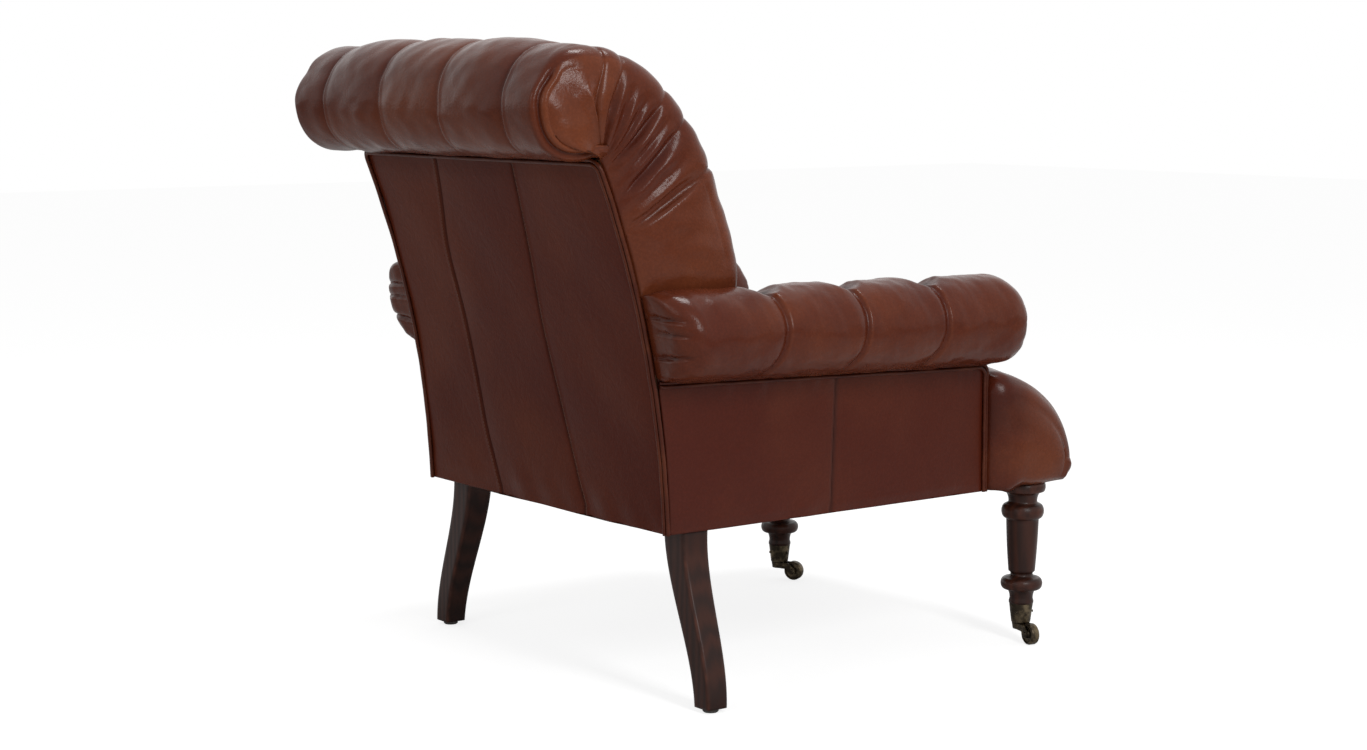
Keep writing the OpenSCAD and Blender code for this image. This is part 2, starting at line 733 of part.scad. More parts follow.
// Buttons on the inner shoulder of each roll, one at each pleat
arm_button_at = 56;
module arm_buttons() {
  for (side = sides, k = [0:2]) let (
    y = pleat_y(k),
    low = seam(y) + gap,
    top = roll_top_at(y),
    wide = roll_w / 2 - arm_pleat,
    tall = (top - low) / 2 - arm_pleat * sin(arm_button_at)
  ) color(leather) on(side)
      translate([roll_x - wide * cos(arm_button_at), y, (top + low) / 2 + tall * sin(arm_button_at)])
        rotate([0, -90 + arm_button_at, 0]) translate([0, 0, button_seat / 2]) button(1);
}

// Padding inside an arm, from the deck up to the roll's inner shoulder: a slab with a crowned face
module inside_arm(side) {
  y0 = front_y + leather_t + gap;
  y1 = seat_end;
  z0 = rail_top + clip_h + spring_arch;
  z1 = seam_front + rail_lift + arm_rail_t + 30;
  steps = 8;
  color(leather) on(side) tube([for (k = [0:steps]) let (
      t = 2 * k / steps - 1,
      sag = 5 * t * t,
      out = post_x - gap
    ) [
      [out, mix(y0, y1, k / steps), z0],
      [out, mix(y0, y1, k / steps), z1 + 6],
      [out - 6, mix(y0, y1, k / steps), z1 + 6],
      [inside_x + sag + 6, mix(y0, y1, k / steps), z1 - 6],
      [inside_x + sag, mix(y0, y1, k / steps), mix(z0, z1, 0.7)],
      [inside_x + sag, mix(y0, y1, k / steps), mix(z0, z1, 0.3)],
      [inside_x + sag + 4, mix(y0, y1, k / steps), z0]
    ]]);
}

// Flat covers

module outside_back() { color(leather) level_swept(body_z, back_top, 0, leather_t, -panel_x, panel_x); }

module side_panel(side) {
  color(leather) on(side) difference() {
    span([panel_x - leather_t, front_y, body_z], [panel_x, foot_y + post_d, roll_top]);
    behind_sweep(post_in);
    on_seam(rail_lift - gap) span([-far, -far, 0], [far, far, far]);
  }
}

module arm_facing(side) {
  color(leather) on(side) difference() {
    span([inside_x, front_y, rail_top + gap], [frame_x, front_y + leather_t, roll_top]);
    on_seam(rail_lift - gap) span([-far, -far, 0], [far, far, far]);
  }
}

// A welt is a cord along a path, drawn in rings. Each place of the path holds a point and a direction
// across the path. The ring's other direction is square to both.
cord_sides = 8;
module cord(places) {
  last = len(places) - 1;
  tube([for (k = [0:last]) let (
      p = places[k][0],
      across = places[k][1],
      along = places[min(k + 1, last)][0] - places[max(k - 1, 0)][0],
      up = cross(along, across) / norm(along)
    ) [for (i = [0:cord_sides - 1]) let (a = 360 * (i + 0.5) / cord_sides)
      p + welt_d / 2 * (cos(a) * up + sin(a) * across)]]);
}

// Up one side of the outside back, across under the top roll, and down the other side
welt_x = panel_x + welt_d / 2 + gap;
welt_top = back_top + welt_d / 2 + gap;
welt_turn = 3.4;
welt_steps = 14;
function back_place(x, z) = let (a = sweep_angle(z)) [[x, sweep_y(z), z], [0, cos(a), -sin(a)]];
module back_welt() {
  side = [for (k = [0:welt_steps]) back_place(welt_x, mix(body_z, welt_top - welt_turn, k / welt_steps))];
  turn = [for (a = [22.5, 45, 67.5, 90])
    back_place(welt_x - welt_turn * (1 - cos(a)), welt_top - welt_turn * (1 - sin(a)))];
  half = concat(side, turn);
  color(leather) cord(concat(half, [for (place = reversed(half))
    [[-place[0][0], place[0][1], place[0][2]], place[1]]]));
}

// Up the side panel's front edge and back along the seam under the roll, to the back welt
module side_welt(side) {
  low = welt_d / 2 + gap;
  y = front_y + welt_d / 2;
  z = seam(y) - low;
  across = [1, 0, 0];
  end = sweep_y(seam_rear - welt_d, welt_d / 2 + 2 * gap);
  color(leather) on(side) cord([
    for (p = [[body_z, y], [z - welt_turn, y], [z - welt_turn * 0.3, y + welt_turn * 0.3],
              [z, y + welt_turn], [seam(end) - low, end]]) [[welt_x, p[1], p[0]], across]]);
}

// The dust cover lies under the rails, is cut out round the rear legs' plates, and turns up to the
// front rail between the front legs
module dust_cover() {
  z = rail_z - dust_t - gap;
  half = frame_x - clip_t;
  neck = leg_x - collar_d / 2 - gap;
  rise = hem_z - gap - dust_t - z;
  rim = plate_rim + gap;
  color(black) {
    difference() {
      span([-half, block_end + gap, z], [half, sweep_y(rail_z, post_in), z + dust_t]);
      for (side = sides) on(side) {
        collar_room();
        span([leg_top_x - leg_top_w / 2 - rim, leg_rear - leg_top_d - rim, 0], [far, far, far]);
      }
    }
    translate([-neck, 0, 0]) rotate([90, 0, 90]) linear_extrude(2 * neck) polygon([for (lift = [0, dust_t])
      for (p = [[block_end + gap, z], [front_rail_y + rail_t, z + rise], [front_rail_y, z + rise]])
        [p[0], p[1] + lift]], [[0, 1, 2, 5, 4, 3]]);
  }
}

// Rear legs

leg_top_x = panel_x - leg_top_w / 2 - 1;
leg_rear = foot_y - leg_inset;
leg_foot_x = leg_top_x + leg_splay;
leg_steps = 16;
bend_high = 205;
bend_low = 45;
// Middle of the leg at height z: upright at both ends, and swung outward between
function leg_x_at(z) = leg_top_x + leg_splay * smooth((bend_high - z) / (bend_high - bend_low));
function leg_w_at(z) = mix(leg_foot_w, leg_top_w, z / body_z);
leg_heights = [for (k = [0:leg_steps]) mix(glide_h, body_z, k / leg_steps)];

module rear_leg(side) {
  color(walnut) on(side) difference() {
    intersection() {
      translate([0, leg_rear, 0]) rotate([90, 0, 0]) linear_extrude(leg_top_d) polygon(concat(
        [for (z = leg_heights) [leg_x_at(z) + leg_w_at(z) / 2, z]],
        [for (z = reversed(leg_heights)) [leg_x_at(z) - leg_w_at(z) / 2, z]]));
      rotate([90, 0, 90]) linear_extrude(far) polygon([
        [leg_rear, glide_h], [leg_rear, body_z],
        [leg_rear - leg_top_d, body_z], [leg_rear - leg_foot_w, glide_h]]);
    }
    translate([leg_top_x, leg_rear - leg_top_d / 2, body_z - bolt_deep])
      cylinder(d = bolt_d + 2 * run_fit, h = bolt_deep + 1);
  }
}

module leg_plates() {
  for (side = sides) color(black) on(side) difference() {
    span([leg_top_x - leg_top_w / 2 - plate_rim, leg_rear - leg_top_d - plate_rim, body_z],
         [frame_x, leg_rear, rail_z]);
    translate([leg_top_x, leg_rear - leg_top_d / 2, body_z - 1]) cylinder(d = bolt_d + 2 * run_fit, h = plate_t + 2);
  }
}

module rear_glides() {
  edge = 1.5;
  for (side = sides) color(black) on(side) translate([leg_foot_x, leg_rear - leg_foot_w / 2, 0])
    rotate_extrude() polygon([[0, 0], [glide_d / 2 - edge, 0], [glide_d / 2, edge], [glide_d / 2, glide_h], [0, glide_h]]);
}

// Front legs

cup_top = cup_z + cup_h;
cup_floor = 3;
pin_head_h = 2.5;
pin_head_d = pin_d + 6;
tenon_z = cup_z + cup_floor + pin_head_h + 1;
function cup_r(z) = mix(cup_foot_d, cup_d, (z - cup_z) / cup_h) / 2;

// Half of a round bead between two heights, as points of the profile
function bead(r0, r, low, high) = [for (k = [0:8]) let (a = 180 * k / 8)
  [r0 + (r - r0) * sin(a), mix(low, high, (1 - cos(a)) / 2)]];
// A hollow curve between two points of the profile
function cove(r0, z0, r1, z1) = [for (k = [0:6]) let (a = 90 * k / 6)
  [mix(r0, r1, 1 - cos(a)), mix(z0, z1, sin(a))]];

// Heights of the turnings, from the caster cup up to the collar
bell_z = cup_top + 8;
ring_low = bell_z + 14;
ring_high = ring_low + 18;
ankle_z = ring_high + 10;
taper_z = hem_z - 66;
bead_high = taper_z + 24;
collar_z = hem_z - 24;

module front_leg(side) {
  profile = concat(
    [[0, tenon_z], [cup_r(tenon_z) - cup_wall - run_fit, tenon_z],
     [cup_r(cup_top) - cup_wall - run_fit, cup_top], [cup_d / 2 + 0.5, cup_top + gap], [cup_d / 2 + 0.5, cup_top + 4]],
    cove(neck_d / 2 + 1, bell_z, ring_d / 2 - 8, ring_low),
    bead(ring_d / 2 - 6, ring_d / 2, ring_low, ring_high),
    [[neck_d / 2 + 2, ring_high + 2], [neck_d / 2, ring_high + 5], [neck_d / 2 + 1, ankle_z - 2],
     [ankle_d / 2, ankle_z], [taper_d / 2, taper_z]],
    bead(taper_d / 2 + 1, bead_d / 2, taper_z + 2, bead_high),
    cove(neck_d / 2 + 5, bead_high + 3, collar_d / 2 - 6, collar_z),
    bead(collar_d / 2 - 3, collar_d / 2, collar_z + 1, hem_z - 8),
    [[collar_d / 2 - 5, hem_z - 6], [collar_d / 2 - 5, hem_z], [0, hem_z]]);
  color(walnut) on(side) translate([leg_x, leg_y, 0]) difference() {
    rotate_extrude() polygon(profile);
    translate([0, 0, hem_z - bolt_deep]) cylinder(d = bolt_d + 2 * run_fit, h = bolt_deep + 1);
    cup_screw_places() screw_hole();
  }
}

module leg_bolts() {
  for (side = sides) color(steel) on(side) {
    translate([leg_x, leg_y, hem_z - bolt_deep]) cylinder(d = bolt_d, h = bolt_deep + block_h);
    translate([leg_top_x, leg_rear - leg_top_d / 2, body_z - bolt_deep]) cylinder(d = bolt_d, h = bolt_deep + plate_t);
  }
}

// T-nuts: a flange on the leg block and a barrel in its hole
module leg_nuts() {
  for (side = sides) color(steel) on(side) translate([leg_x, leg_y, hem_z + block_h]) difference() {
    union() {
      translate([0, 0, -nut_h]) cylinder(d = nut_d, h = nut_h);
      cylinder(d = 2 * nut_d, h = clip_t);
    }
    translate([0, 0, -nut_h - 1]) cylinder(d = bolt_d + 2 * run_fit, h = nut_h + clip_t + 2);
  }
}

// Casters

module at_leg(side) { translate([side * leg_x, leg_y, 0]) children(); }

// The cup is a tapered shell with a bead round its mouth and a floor that the pin passes
module caster_cup(side) {
  inner = cup_r(cup_z + cup_floor) - cup_wall;
  color(brass) at_leg(side) on(side) difference() {
    rotate_extrude() polygon([
      [pin_d / 2 + run_fit, cup_z], [cup_foot_d / 2 - 1.5, cup_z], [cup_foot_d / 2, cup_z + 1.5],
      [cup_d / 2, cup_top], [cup_d / 2 - cup_wall, cup_top],
      [inner, cup_z + cup_floor], [pin_d / 2 + run_fit, cup_z + cup_floor]]);
    cup_screw_places() screw_hole();
  }
}

// Three screws through each cup, their middle height half way up it
screw_z = cup_z + cup_h * 0.58;
screw_deep = 10;
cup_screw_d = 2.4;
module cup_screw_places() {
  for (a = [70, 190, 310]) rotate([0, 0, a]) translate([cup_r(screw_z), 0, screw_z]) rotate([0, 90, 0]) children();
}
module screw_hole() {
  translate([0, 0, -screw_deep]) cylinder(d = cup_screw_d + 2 * run_fit, h = 2 * screw_deep);
}
module cup_screws() {
  for (side = sides) color(brass) at_leg(side) on(side) cup_screw_places() {
    translate([0, 0, -screw_deep]) cylinder(d = cup_screw_d, h = screw_deep + 1);
    translate([0, 0, gap + 0.3]) cylinder(d1 = screw_d, d2 = screw_d - 2, h = 1.2);
  }
}

// Swivel parts are drawn with their trail along +X and turned to their rest angle
module turned(side) { at_leg(side) rotate([0, 0, side == left ? turn_left : turn_right]) children(); }

boss_top = cup_z - gap;
boss_low = boss_top - boss_h;
module swivel_pin(side) {
  color(brass) turned(side) {
    translate([0, 0, boss_top]) cylinder(d = pin_d, h = tenon_z - boss_top - 0.5);
    translate([0, 0, cup_z + cup_floor + gap]) cylinder(d = pin_head_d, h = tenon_z - 0.5 - cup_z - cup_floor - gap);
  }
}

// The horn: a round boss under the cup, and two curved cheeks that hold the axle
cheek_in = wheel_w / 2 + 0.6;
eye_d = 12;
module caster_horn(side) {
  color(brass) turned(side) difference() {
    union() {
      translate([0, 0, boss_low]) cylinder(d1 = boss_d - 3, d2 = boss_d, h = boss_h);
      for (s = sides) translate([0, s * (cheek_in + cheek_t / 2), 0]) rotate([90, 0, 0])
        linear_extrude(cheek_t, center = true) {
          hull() {
            translate([0, boss_low + boss_h / 2]) square([1, boss_h], center = true);
            translate([trail - 7, boss_top - 5]) circle(d = 9.8, $fn = 32);
          }
          hull() {
            translate([trail - 7, boss_top - 5]) circle(d = 9.8, $fn = 32);
            translate([trail, wheel_d / 2]) circle(d = eye_d, $fn = 32);
          }
        }
    }
    // Room for the wheel, and the axle's bore
    translate([trail, 0, wheel_d / 2]) rotate([90, 0, 0]) {
      cylinder(d = wheel_d + 2.4, h = 2 * cheek_in, center = true);
      cylinder(d = axle_d + 2 * run_fit, h = wheel_d, center = true);
    }
  }
}

module wheel_axle(side) {
  length = 2 * (cheek_in + cheek_t);
  head = axle_d + 3;
  color(brass) turned(side) translate([trail, 0, wheel_d / 2]) rotate([90, 0, 0]) {
    cylinder(d = axle_d, h = length, center = true);
    for (s = [0, 1]) mirror([0, 0, s]) translate([0, 0, length / 2]) cylinder(d1 = head, d2 = head - 2, h = 1.5);
  }
}

// A wheel with a rounded tread, hollow faces and a hub
module caster_wheel(side) {
  r = wheel_d / 2;
  w = wheel_w / 2;
  hub = axle_d / 2 + 2.5;
  color(brass) turned(side) translate([trail, 0, r]) rotate([90, 0, 0]) rotate_extrude() polygon([
    [axle_d / 2 + run_fit, -w], [hub, -w], [hub + 0.8, 2 - w], [r - 4, 2 - w], [r - 3, -w], [r - 2, -w],
    [r - 0.6, 1.2 - w], [r, 3 - w], [r, w - 3], [r - 0.6, w - 1.2],
    [r - 2, w], [r - 3, w], [r - 4, w - 2], [hub + 0.8, w - 2], [hub, w], [axle_d / 2 + run_fit, w]]);
}

front_rail();
side_rail(right);  // side_rail_right
side_rail(left);  // side_rail_left
rear_rail();
leg_block(right);  // leg_block_right
leg_block(left);  // leg_block_left
corner_blocks();
arm_post(right);  // arm_post_right
arm_post(left);  // arm_post_left
arm_rail(right);  // arm_rail_right
arm_rail(left);  // arm_rail_left
back_post(right);  // back_post_right
back_post(left);  // back_post_left
back_lower_rail();
back_top_rail();
scroll_rail();
seat_springs();
spring_clips();
seat_deck();
back_webbing();
seat_pad();
back_pad();
arm_roll(right);  // arm_roll_right
arm_roll(left);  // arm_roll_left
inside_arm(right);  // inside_arm_right
inside_arm(left);  // inside_arm_left
outside_back();
side_panel(right);  // side_panel_right
side_panel(left);  // side_panel_left
arm_facing(right);  // arm_facing_right
arm_facing(left);  // arm_facing_left
back_welt();
side_welt(right);  // side_welt_right
side_welt(left);  // side_welt_left
back_buttons();
arm_buttons();
dust_cover();
rear_leg(right);  // rear_leg_right
rear_leg(left);  // rear_leg_left
leg_plates();
rear_glides();
front_leg(right);  // front_leg_right
front_leg(left);  // front_leg_left
leg_bolts();
leg_nuts();
caster_cup(right);  // caster_cup_right
caster_cup(left);  // caster_cup_left
cup_screws();
swivel_pin(right);  // swivel_pin_right
swivel_pin(left);  // swivel_pin_left
caster_horn(right);  // caster_horn_right
caster_horn(left);  // caster_horn_left
wheel_axle(right);  // wheel_axle_right
wheel_axle(left);  // wheel_axle_left
caster_wheel(right);  // caster_wheel_right
caster_wheel(left);  // caster_wheel_left
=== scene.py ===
"""Looks of a tufted leather armchair, built round its packed frame.

Run as a script. Sizes are in metres, in the frame's own axes: the chair faces -Y, its right side is at -X,
and the floor is at Z = 0. Every padded or sewn piece is a surface worked out on a grid of two parameters.
"""

import bpy
import numpy as np
from mathutils import Matrix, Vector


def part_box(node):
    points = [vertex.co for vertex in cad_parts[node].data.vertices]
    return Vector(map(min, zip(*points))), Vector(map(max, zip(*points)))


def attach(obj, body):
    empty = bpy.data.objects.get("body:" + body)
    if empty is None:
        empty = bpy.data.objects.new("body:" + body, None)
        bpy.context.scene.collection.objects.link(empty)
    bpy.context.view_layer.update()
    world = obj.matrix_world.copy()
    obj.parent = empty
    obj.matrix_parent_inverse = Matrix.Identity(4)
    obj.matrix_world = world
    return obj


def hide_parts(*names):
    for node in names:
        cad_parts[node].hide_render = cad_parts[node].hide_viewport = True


bl_info = {
    "name": "Tufted leather armchair",
    "version": (1, 0, 0),
    "blender": (4, 5, 0),
    "location": "3D View > Sidebar > Armchair",
    "description": "Upholstery, legs, finishes and stage for a tufted armchair with rolled back and arms",
    "category": "Add Mesh",
}

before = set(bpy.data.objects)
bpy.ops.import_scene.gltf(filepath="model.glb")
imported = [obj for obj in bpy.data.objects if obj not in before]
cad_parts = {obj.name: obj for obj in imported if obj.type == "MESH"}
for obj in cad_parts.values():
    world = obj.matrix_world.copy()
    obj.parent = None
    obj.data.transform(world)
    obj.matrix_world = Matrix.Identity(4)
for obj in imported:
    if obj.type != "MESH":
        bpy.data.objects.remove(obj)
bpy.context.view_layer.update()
BODY = "chair"
SIDES = {"right": -1.0, "left": 1.0}

# Places that come from the frame
BACK_LOW, BACK_HIGH = (np.array(c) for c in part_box("outside_back"))
PAD_LOW, PAD_HIGH = (np.array(c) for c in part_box("back_pad"))
ROLL_LOW, ROLL_HIGH = (np.array(c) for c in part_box("arm_roll_left"))
LEG_LOW, LEG_HIGH = (np.array(c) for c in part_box("front_leg_left"))

PANEL_X = float(BACK_HIGH[0])
BODY_Z = float(BACK_LOW[2])
BACK_TOP = float(BACK_HIGH[2])
FRONT_Y = float(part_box("side_panel_left")[0][1])
ROLL_TOP = float(ROLL_HIGH[2])
ROLL_FRONT = float(ROLL_LOW[1])
NOSE_Y = float(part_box("seat_pad")[0][1])
CREST_Z = float(PAD_HIGH[2])
PAD_Z = float(PAD_LOW[2])

# The back follows an arc about an axis behind the chair
SWEEP_R = 1.44
LEAN = np.radians(2.2)
FOOT_Y = FRONT_Y + 0.587
ARC_Y = FOOT_Y + SWEEP_R * np.cos(LEAN)
ARC_Z = BODY_Z - SWEEP_R * np.sin(LEAN)
# How far in front of the back's rear face the pieces end that meet it, and how thick a sheet is
COVER_DEPTH = 0.0036
SHEET = 0.003

# The top roll, and the front that falls from its crest in a quarter ellipse
SCROLL_R = 0.075
SCROLL_Y = FOOT_Y + 0.217 - SCROLL_R
SCROLL_Z = CREST_Z - SCROLL_R
SCROLL_HALF = 0.326
# Half widths: of the even middle of the crest, of the roll at its caps, and where the side folds end
MIDDLE_HALF, CAP_HALF, ANCHOR_X = 0.155, 0.3185, 0.3035
LUMBAR_Z = 0.52
LUMBAR_Y = FOOT_Y - 0.118
CREST_L = SCROLL_Y - LUMBAR_Y
CREST_H = CREST_Z - LUMBAR_Z
QUARTER = np.pi / 4 * (3 * (CREST_L + CREST_H) - np.sqrt((3 * CREST_L + CREST_H) * (CREST_L + 3 * CREST_H)))
FRONT_END = QUARTER + LUMBAR_Z - PAD_Z
# Radius of the rim, and of the roll's rim
CORNER_R, ROLL_CORNER_R = 0.028, 0.016
ROLL_TURN = np.radians(190)
REAR_RUN = 0.020
REAR_END = SCROLL_R * ROLL_TURN + REAR_RUN
# The point where the folds at each side of the back meet
FAN_Y, FAN_Z = 0.377, 0.746
# How much the roll sags below its circle, and where; how far its seam lies over the panel; and how much the
# shoulders lie below the middle
ROLL_SAG = 0.009
SAG_AT = np.radians(140)
SEAM_LIFT = 0.0066
SIDE_THIN = 0.010
# Lengths from the crest at which the folds of the back's sides cross its rim, and the rows of buttons
FAN = np.array([-REAR_END, 0.035, 0.078, 0.180, 0.231, 0.310])
BUTTON_ROWS = 4

# The arm rolls: their middle and half width, how far the top falls to the front, the seam below them, and where
# the pleats and the buttons lie along and round them
ROLL_X = PANEL_X + 0.027
ROLL_HALF = 0.064
ROLL_DROP = 0.006
SEAM_FRONT = 0.435
SEAM_SLOPE = 0.017 / 0.587
ARM_PLEATS = np.array([-0.1525, -0.0045, 0.1375])
BUTTON_AT = np.radians(124)
# The height at which an arm's rear end is measured
ARM_END_Z = 0.513

# The seat: its half width in front of the arms and between them, its top, its lower edge between the arms, and the
# hem in front of them
SEAT_HALF = 0.326
INSIDE_X = 0.2434
SEAT_TOP = 0.446
SEAT_LOW_SIDE = 0.352
HEM_Z = BODY_Z + 0.012
# How much the nose's middle bows forward, and how far its quarter ellipse runs forward and falls
NOSE_BOW = 0.005
NOSE_RUN, NOSE_FALL = 0.215, 0.141

# The side panels' seam at the hem and at the top, and the outside back's seams as points of X and Z
SIDE_SEAM_Y = (-0.019, -0.027)
BACK_SEAMS = (
    np.array([(-0.106, 0.258), (-0.072, 0.377), (-0.058, 0.505), (-0.067, 0.620), (-0.088, 0.733)]),
    np.array([(0.108, 0.250), (0.136, 0.353), (0.146, 0.488), (0.147, 0.608), (0.106, 0.734)]),
)

# The legs: a rear leg's glide, its middle at the top and how far out its foot swings, and the casters' cups
GLIDE_H = 0.006
REAR_LEG_X = 0.271
LEG_SPLAY = 0.062
CUP_TOP = 0.059


# Numbers and curves

def smooth(t):
    """Rises from 0 to 1 without a corner."""
    t = np.clip(t, 0, 1)
    return t * t * (3 - 2 * t)


def mix(a, b, t):
    """The value a share t of the way from a to b."""
    return a + (b - a) * t


def bump(d, width):
    """A bell of height 1 over distance d."""
    return np.exp(-((d / width) ** 2))


def fold(f, power=0.55):
    """1 on every whole number of f and 0 half way between: the depth of a crease between two puffs."""
    return 1 - np.abs(np.sin(np.pi * f)) ** power


def sweep_y(z, off=0.0):
    """Rear face of the outside back at height z, or a line a distance off in front of it: an arc of a circle."""
    return ARC_Y - np.sqrt((SWEEP_R + off) ** 2 - (z - ARC_Z) ** 2)


def seam_z(y):
    """Height of the seam under an arm roll: a straight line that rises to the rear."""
    return SEAM_FRONT + (y - FRONT_Y) * SEAM_SLOPE


def waves(points, length, seed, count=14):
    """Soft unevenness between -1 and 1: the mean of plane waves of about one length in seeded directions."""
    rng = np.random.default_rng(seed)
    directions = rng.normal(size=(3, count))
    directions /= np.linalg.norm(directions, axis=0)
    directions *= 2 * np.pi / (length * rng.uniform(0.7, 1.5, count))
    return np.sin(points @ directions + rng.uniform(0, 2 * np.pi, count)).sum(-1) / np.sqrt(count * 2)


def circle(count):
    """Angles of a whole turn, cut evenly and without the last."""
    return np.linspace(0, 2 * np.pi, count, endpoint=False)[None, :]


def seam_x(points, z, count=80):
    """Where a bowed seam lies at height z: a smooth curve through its points, evenly cut along its length."""
    p = np.vstack([2 * points[0] - points[1], points, 2 * points[-1] - points[-2]])
    t = np.linspace(0, 1, 24, endpoint=False)[:, None]
    parts = [0.5 * (2 * b + (c - a) * t + (2 * a - 5 * b + 4 * c - d) * t**2 + (3 * b - a - 3 * c + d) * t**3)
             for a, b, c, d in zip(p[:-3], p[1:-2], p[2:-1], p[3:])]
    curve = np.vstack(parts + [p[-2:-1]])
    run = np.concatenate([[0], np.cumsum(np.linalg.norm(np.diff(curve, axis=0), axis=1))])
    at = np.linspace(0, run[-1], count)
    return np.interp(z, np.interp(at, run, curve[:, 1]), np.interp(at, run, curve[:, 0]))


# Meshes

def outward_normals(grid, centre):
    """Unit normals of rings of points: the cross product of the steps along and across them, away from a centre."""
    n = np.cross(np.gradient(grid, axis=0), (np.roll(grid, -1, 1) - np.roll(grid, 1, 1)) / 2)
    n = n / np.maximum(np.linalg.norm(n, axis=-1, keepdims=True), 1e-12)
    return n * np.sign(np.median(np.einsum("ijk,ijk->ij", n, grid - np.array(centre))))


def both_halves(middle, right, mirror=(-1, 1, 1)):
    """Rings made of a middle and a right half, with the right half's mirror image on the left."""
    return np.concatenate([right[:, ::-1] * np.array(mirror), middle, right], 1)


def add_mesh(name, points, faces, look, relief=None):
    """Puts points and faces into a new mesh, turned outward by the sign of its volume, on the chair's body."""
    volume = 0.0
    for f in faces:
        a = points[f[:, 0]]
        for k in range(1, f.shape[1] - 1):
            volume += np.einsum("ij,ij->", a, np.cross(points[f[:, k]], points[f[:, k + 1]]))
    if volume < 0:
        faces = [f[:, ::-1] for f in faces]
    mesh = bpy.data.meshes.new(name)
    mesh.from_pydata(points, [], [face for f in faces for face in f.tolist()])
    mesh.polygons.foreach_set("use_smooth", np.full(len(mesh.polygons), True))
    if relief is not None:
        values = np.array(np.broadcast_to(relief, len(points)), np.float32)
        mesh.attributes.new("relief", "FLOAT", "POINT").data.foreach_set("value", values)
    mesh.materials.append(finish(look))
    mesh.update()
    piece = bpy.data.objects.new(name, mesh)
    bpy.context.scene.collection.objects.link(piece)
    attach(piece, BODY)
    return piece


def tube(rings):
    """Points and faces of a closed tube through rings: quads between them, and at each end a fan about its
    middle."""
    rows, cols = rings.shape[:2]
    points = np.vstack([rings.reshape(-1, 3), rings[0].mean(0), rings[-1].mean(0)])
    a = np.arange(rows * cols).reshape(rows, cols)
    b = np.roll(a, -1, 1)
    quads = np.stack([a[:-1], b[:-1], b[1:], a[1:]], -1).reshape(-1, 4)
    start = np.stack([np.full(cols, rows * cols), b[0], a[0]], 1)
    end = np.stack([np.full(cols, rows * cols + 1), a[-1], b[-1]], 1)
    return points, [quads, np.vstack([start, end])]


def add_tube(name, rings, look, relief=None):
    """A piece from a closed tube, with the relief of its rings and of its two end points."""
    points, faces = tube(rings)
    if relief is not None:
        relief = np.concatenate([relief.ravel(), [relief[0].mean(), relief[-1].mean()]])
    return add_mesh(name, points, faces, look, relief)


def add_joined(name, parts, look, relief=None):
    """A piece from several closed tubes."""
    points, quads, tris, step = [], [], [], 0
    for p, (quad, tri) in parts:
        points.append(p)
        quads.append(quad + step)
        tris.append(tri + step)
        step += len(p)
    return add_mesh(name, np.vstack(points), [np.vstack(quads), np.vstack(tris)], look, relief=relief)


def cord_rings(path, across, radius, sides=10):
    """Rings about a path: at each place a circle square to it, started from the direction across."""
    along = np.gradient(path, axis=0)
    along /= np.linalg.norm(along, axis=1, keepdims=True)
    across = np.broadcast_to(np.asarray(across, float), path.shape)
    across = across - along * np.einsum("ij,ij->i", across, along)[:, None]
    across = across / np.linalg.norm(across, axis=1, keepdims=True)
    other = np.cross(along, across)
    a = circle(sides)[..., None]
    return path[:, None] + radius * (np.cos(a) * across[:, None] + np.sin(a) * other[:, None])


# Finishes

class Nodes:
    """A node tree with short calls for the nodes of a finish. A value is a constant or another node's output."""

    def __init__(self, tree):
        self.tree = tree

    def feed(self, node, sockets):
        """Links or sets a node's sockets."""
        for socket, value in sockets.items():
            if isinstance(value, bpy.types.NodeSocket):
                self.tree.links.new(value, node.inputs[socket])
            else:
                node.inputs[socket].default_value = value

    def add(self, kind, sockets=None, **settings):
        """A node with its settings and its sockets."""
        node = self.tree.nodes.new(kind)
        for name, value in settings.items():
            setattr(node, name, value)
        self.feed(node, sockets or {})
        return node

    def place(self):
        """Object coordinates."""
        return self.add("ShaderNodeTexCoord").outputs["Object"]

    def maths(self, operation, a, b=0.0, clamp=False):
        """One operation on two numbers."""
        return self.add("ShaderNodeMath", {0: a, 1: b}, operation=operation, use_clamp=clamp).outputs[0]

    def times(self, a, b, clamp=False):
        """A product."""
        return self.maths("MULTIPLY", a, b, clamp)

    def plus(self, a, b, clamp=False):
        """A sum."""
        return self.maths("ADD", a, b, clamp)

    def blend(self, factor, a, b, kind="MIX"):
        """Two colours mixed."""
        return self.add("ShaderNodeMix", {0: factor, 6: a, 7: b}, data_type="RGBA", blend_type=kind).outputs[2]

    def step(self, value, low, high, start=0.0, end=1.0):
        """A value mapped smoothly from one range to another."""
        ranges = {"Value": value, "From Min": low, "From Max": high, "To Min": start, "To Max": end}
        return self.add("ShaderNodeMapRange", ranges, interpolation_type="SMOOTHSTEP").outputs[0]

    def noise(self, vector, scale, detail=3.0, rough=0.5, distortion=0.0):
        """The value of a noise texture."""
        values = {"Vector": vector, "Scale": scale, "Detail": detail, "Roughness": rough, "Distortion": distortion}
        return self.add("ShaderNodeTexNoise", values).outputs[0]


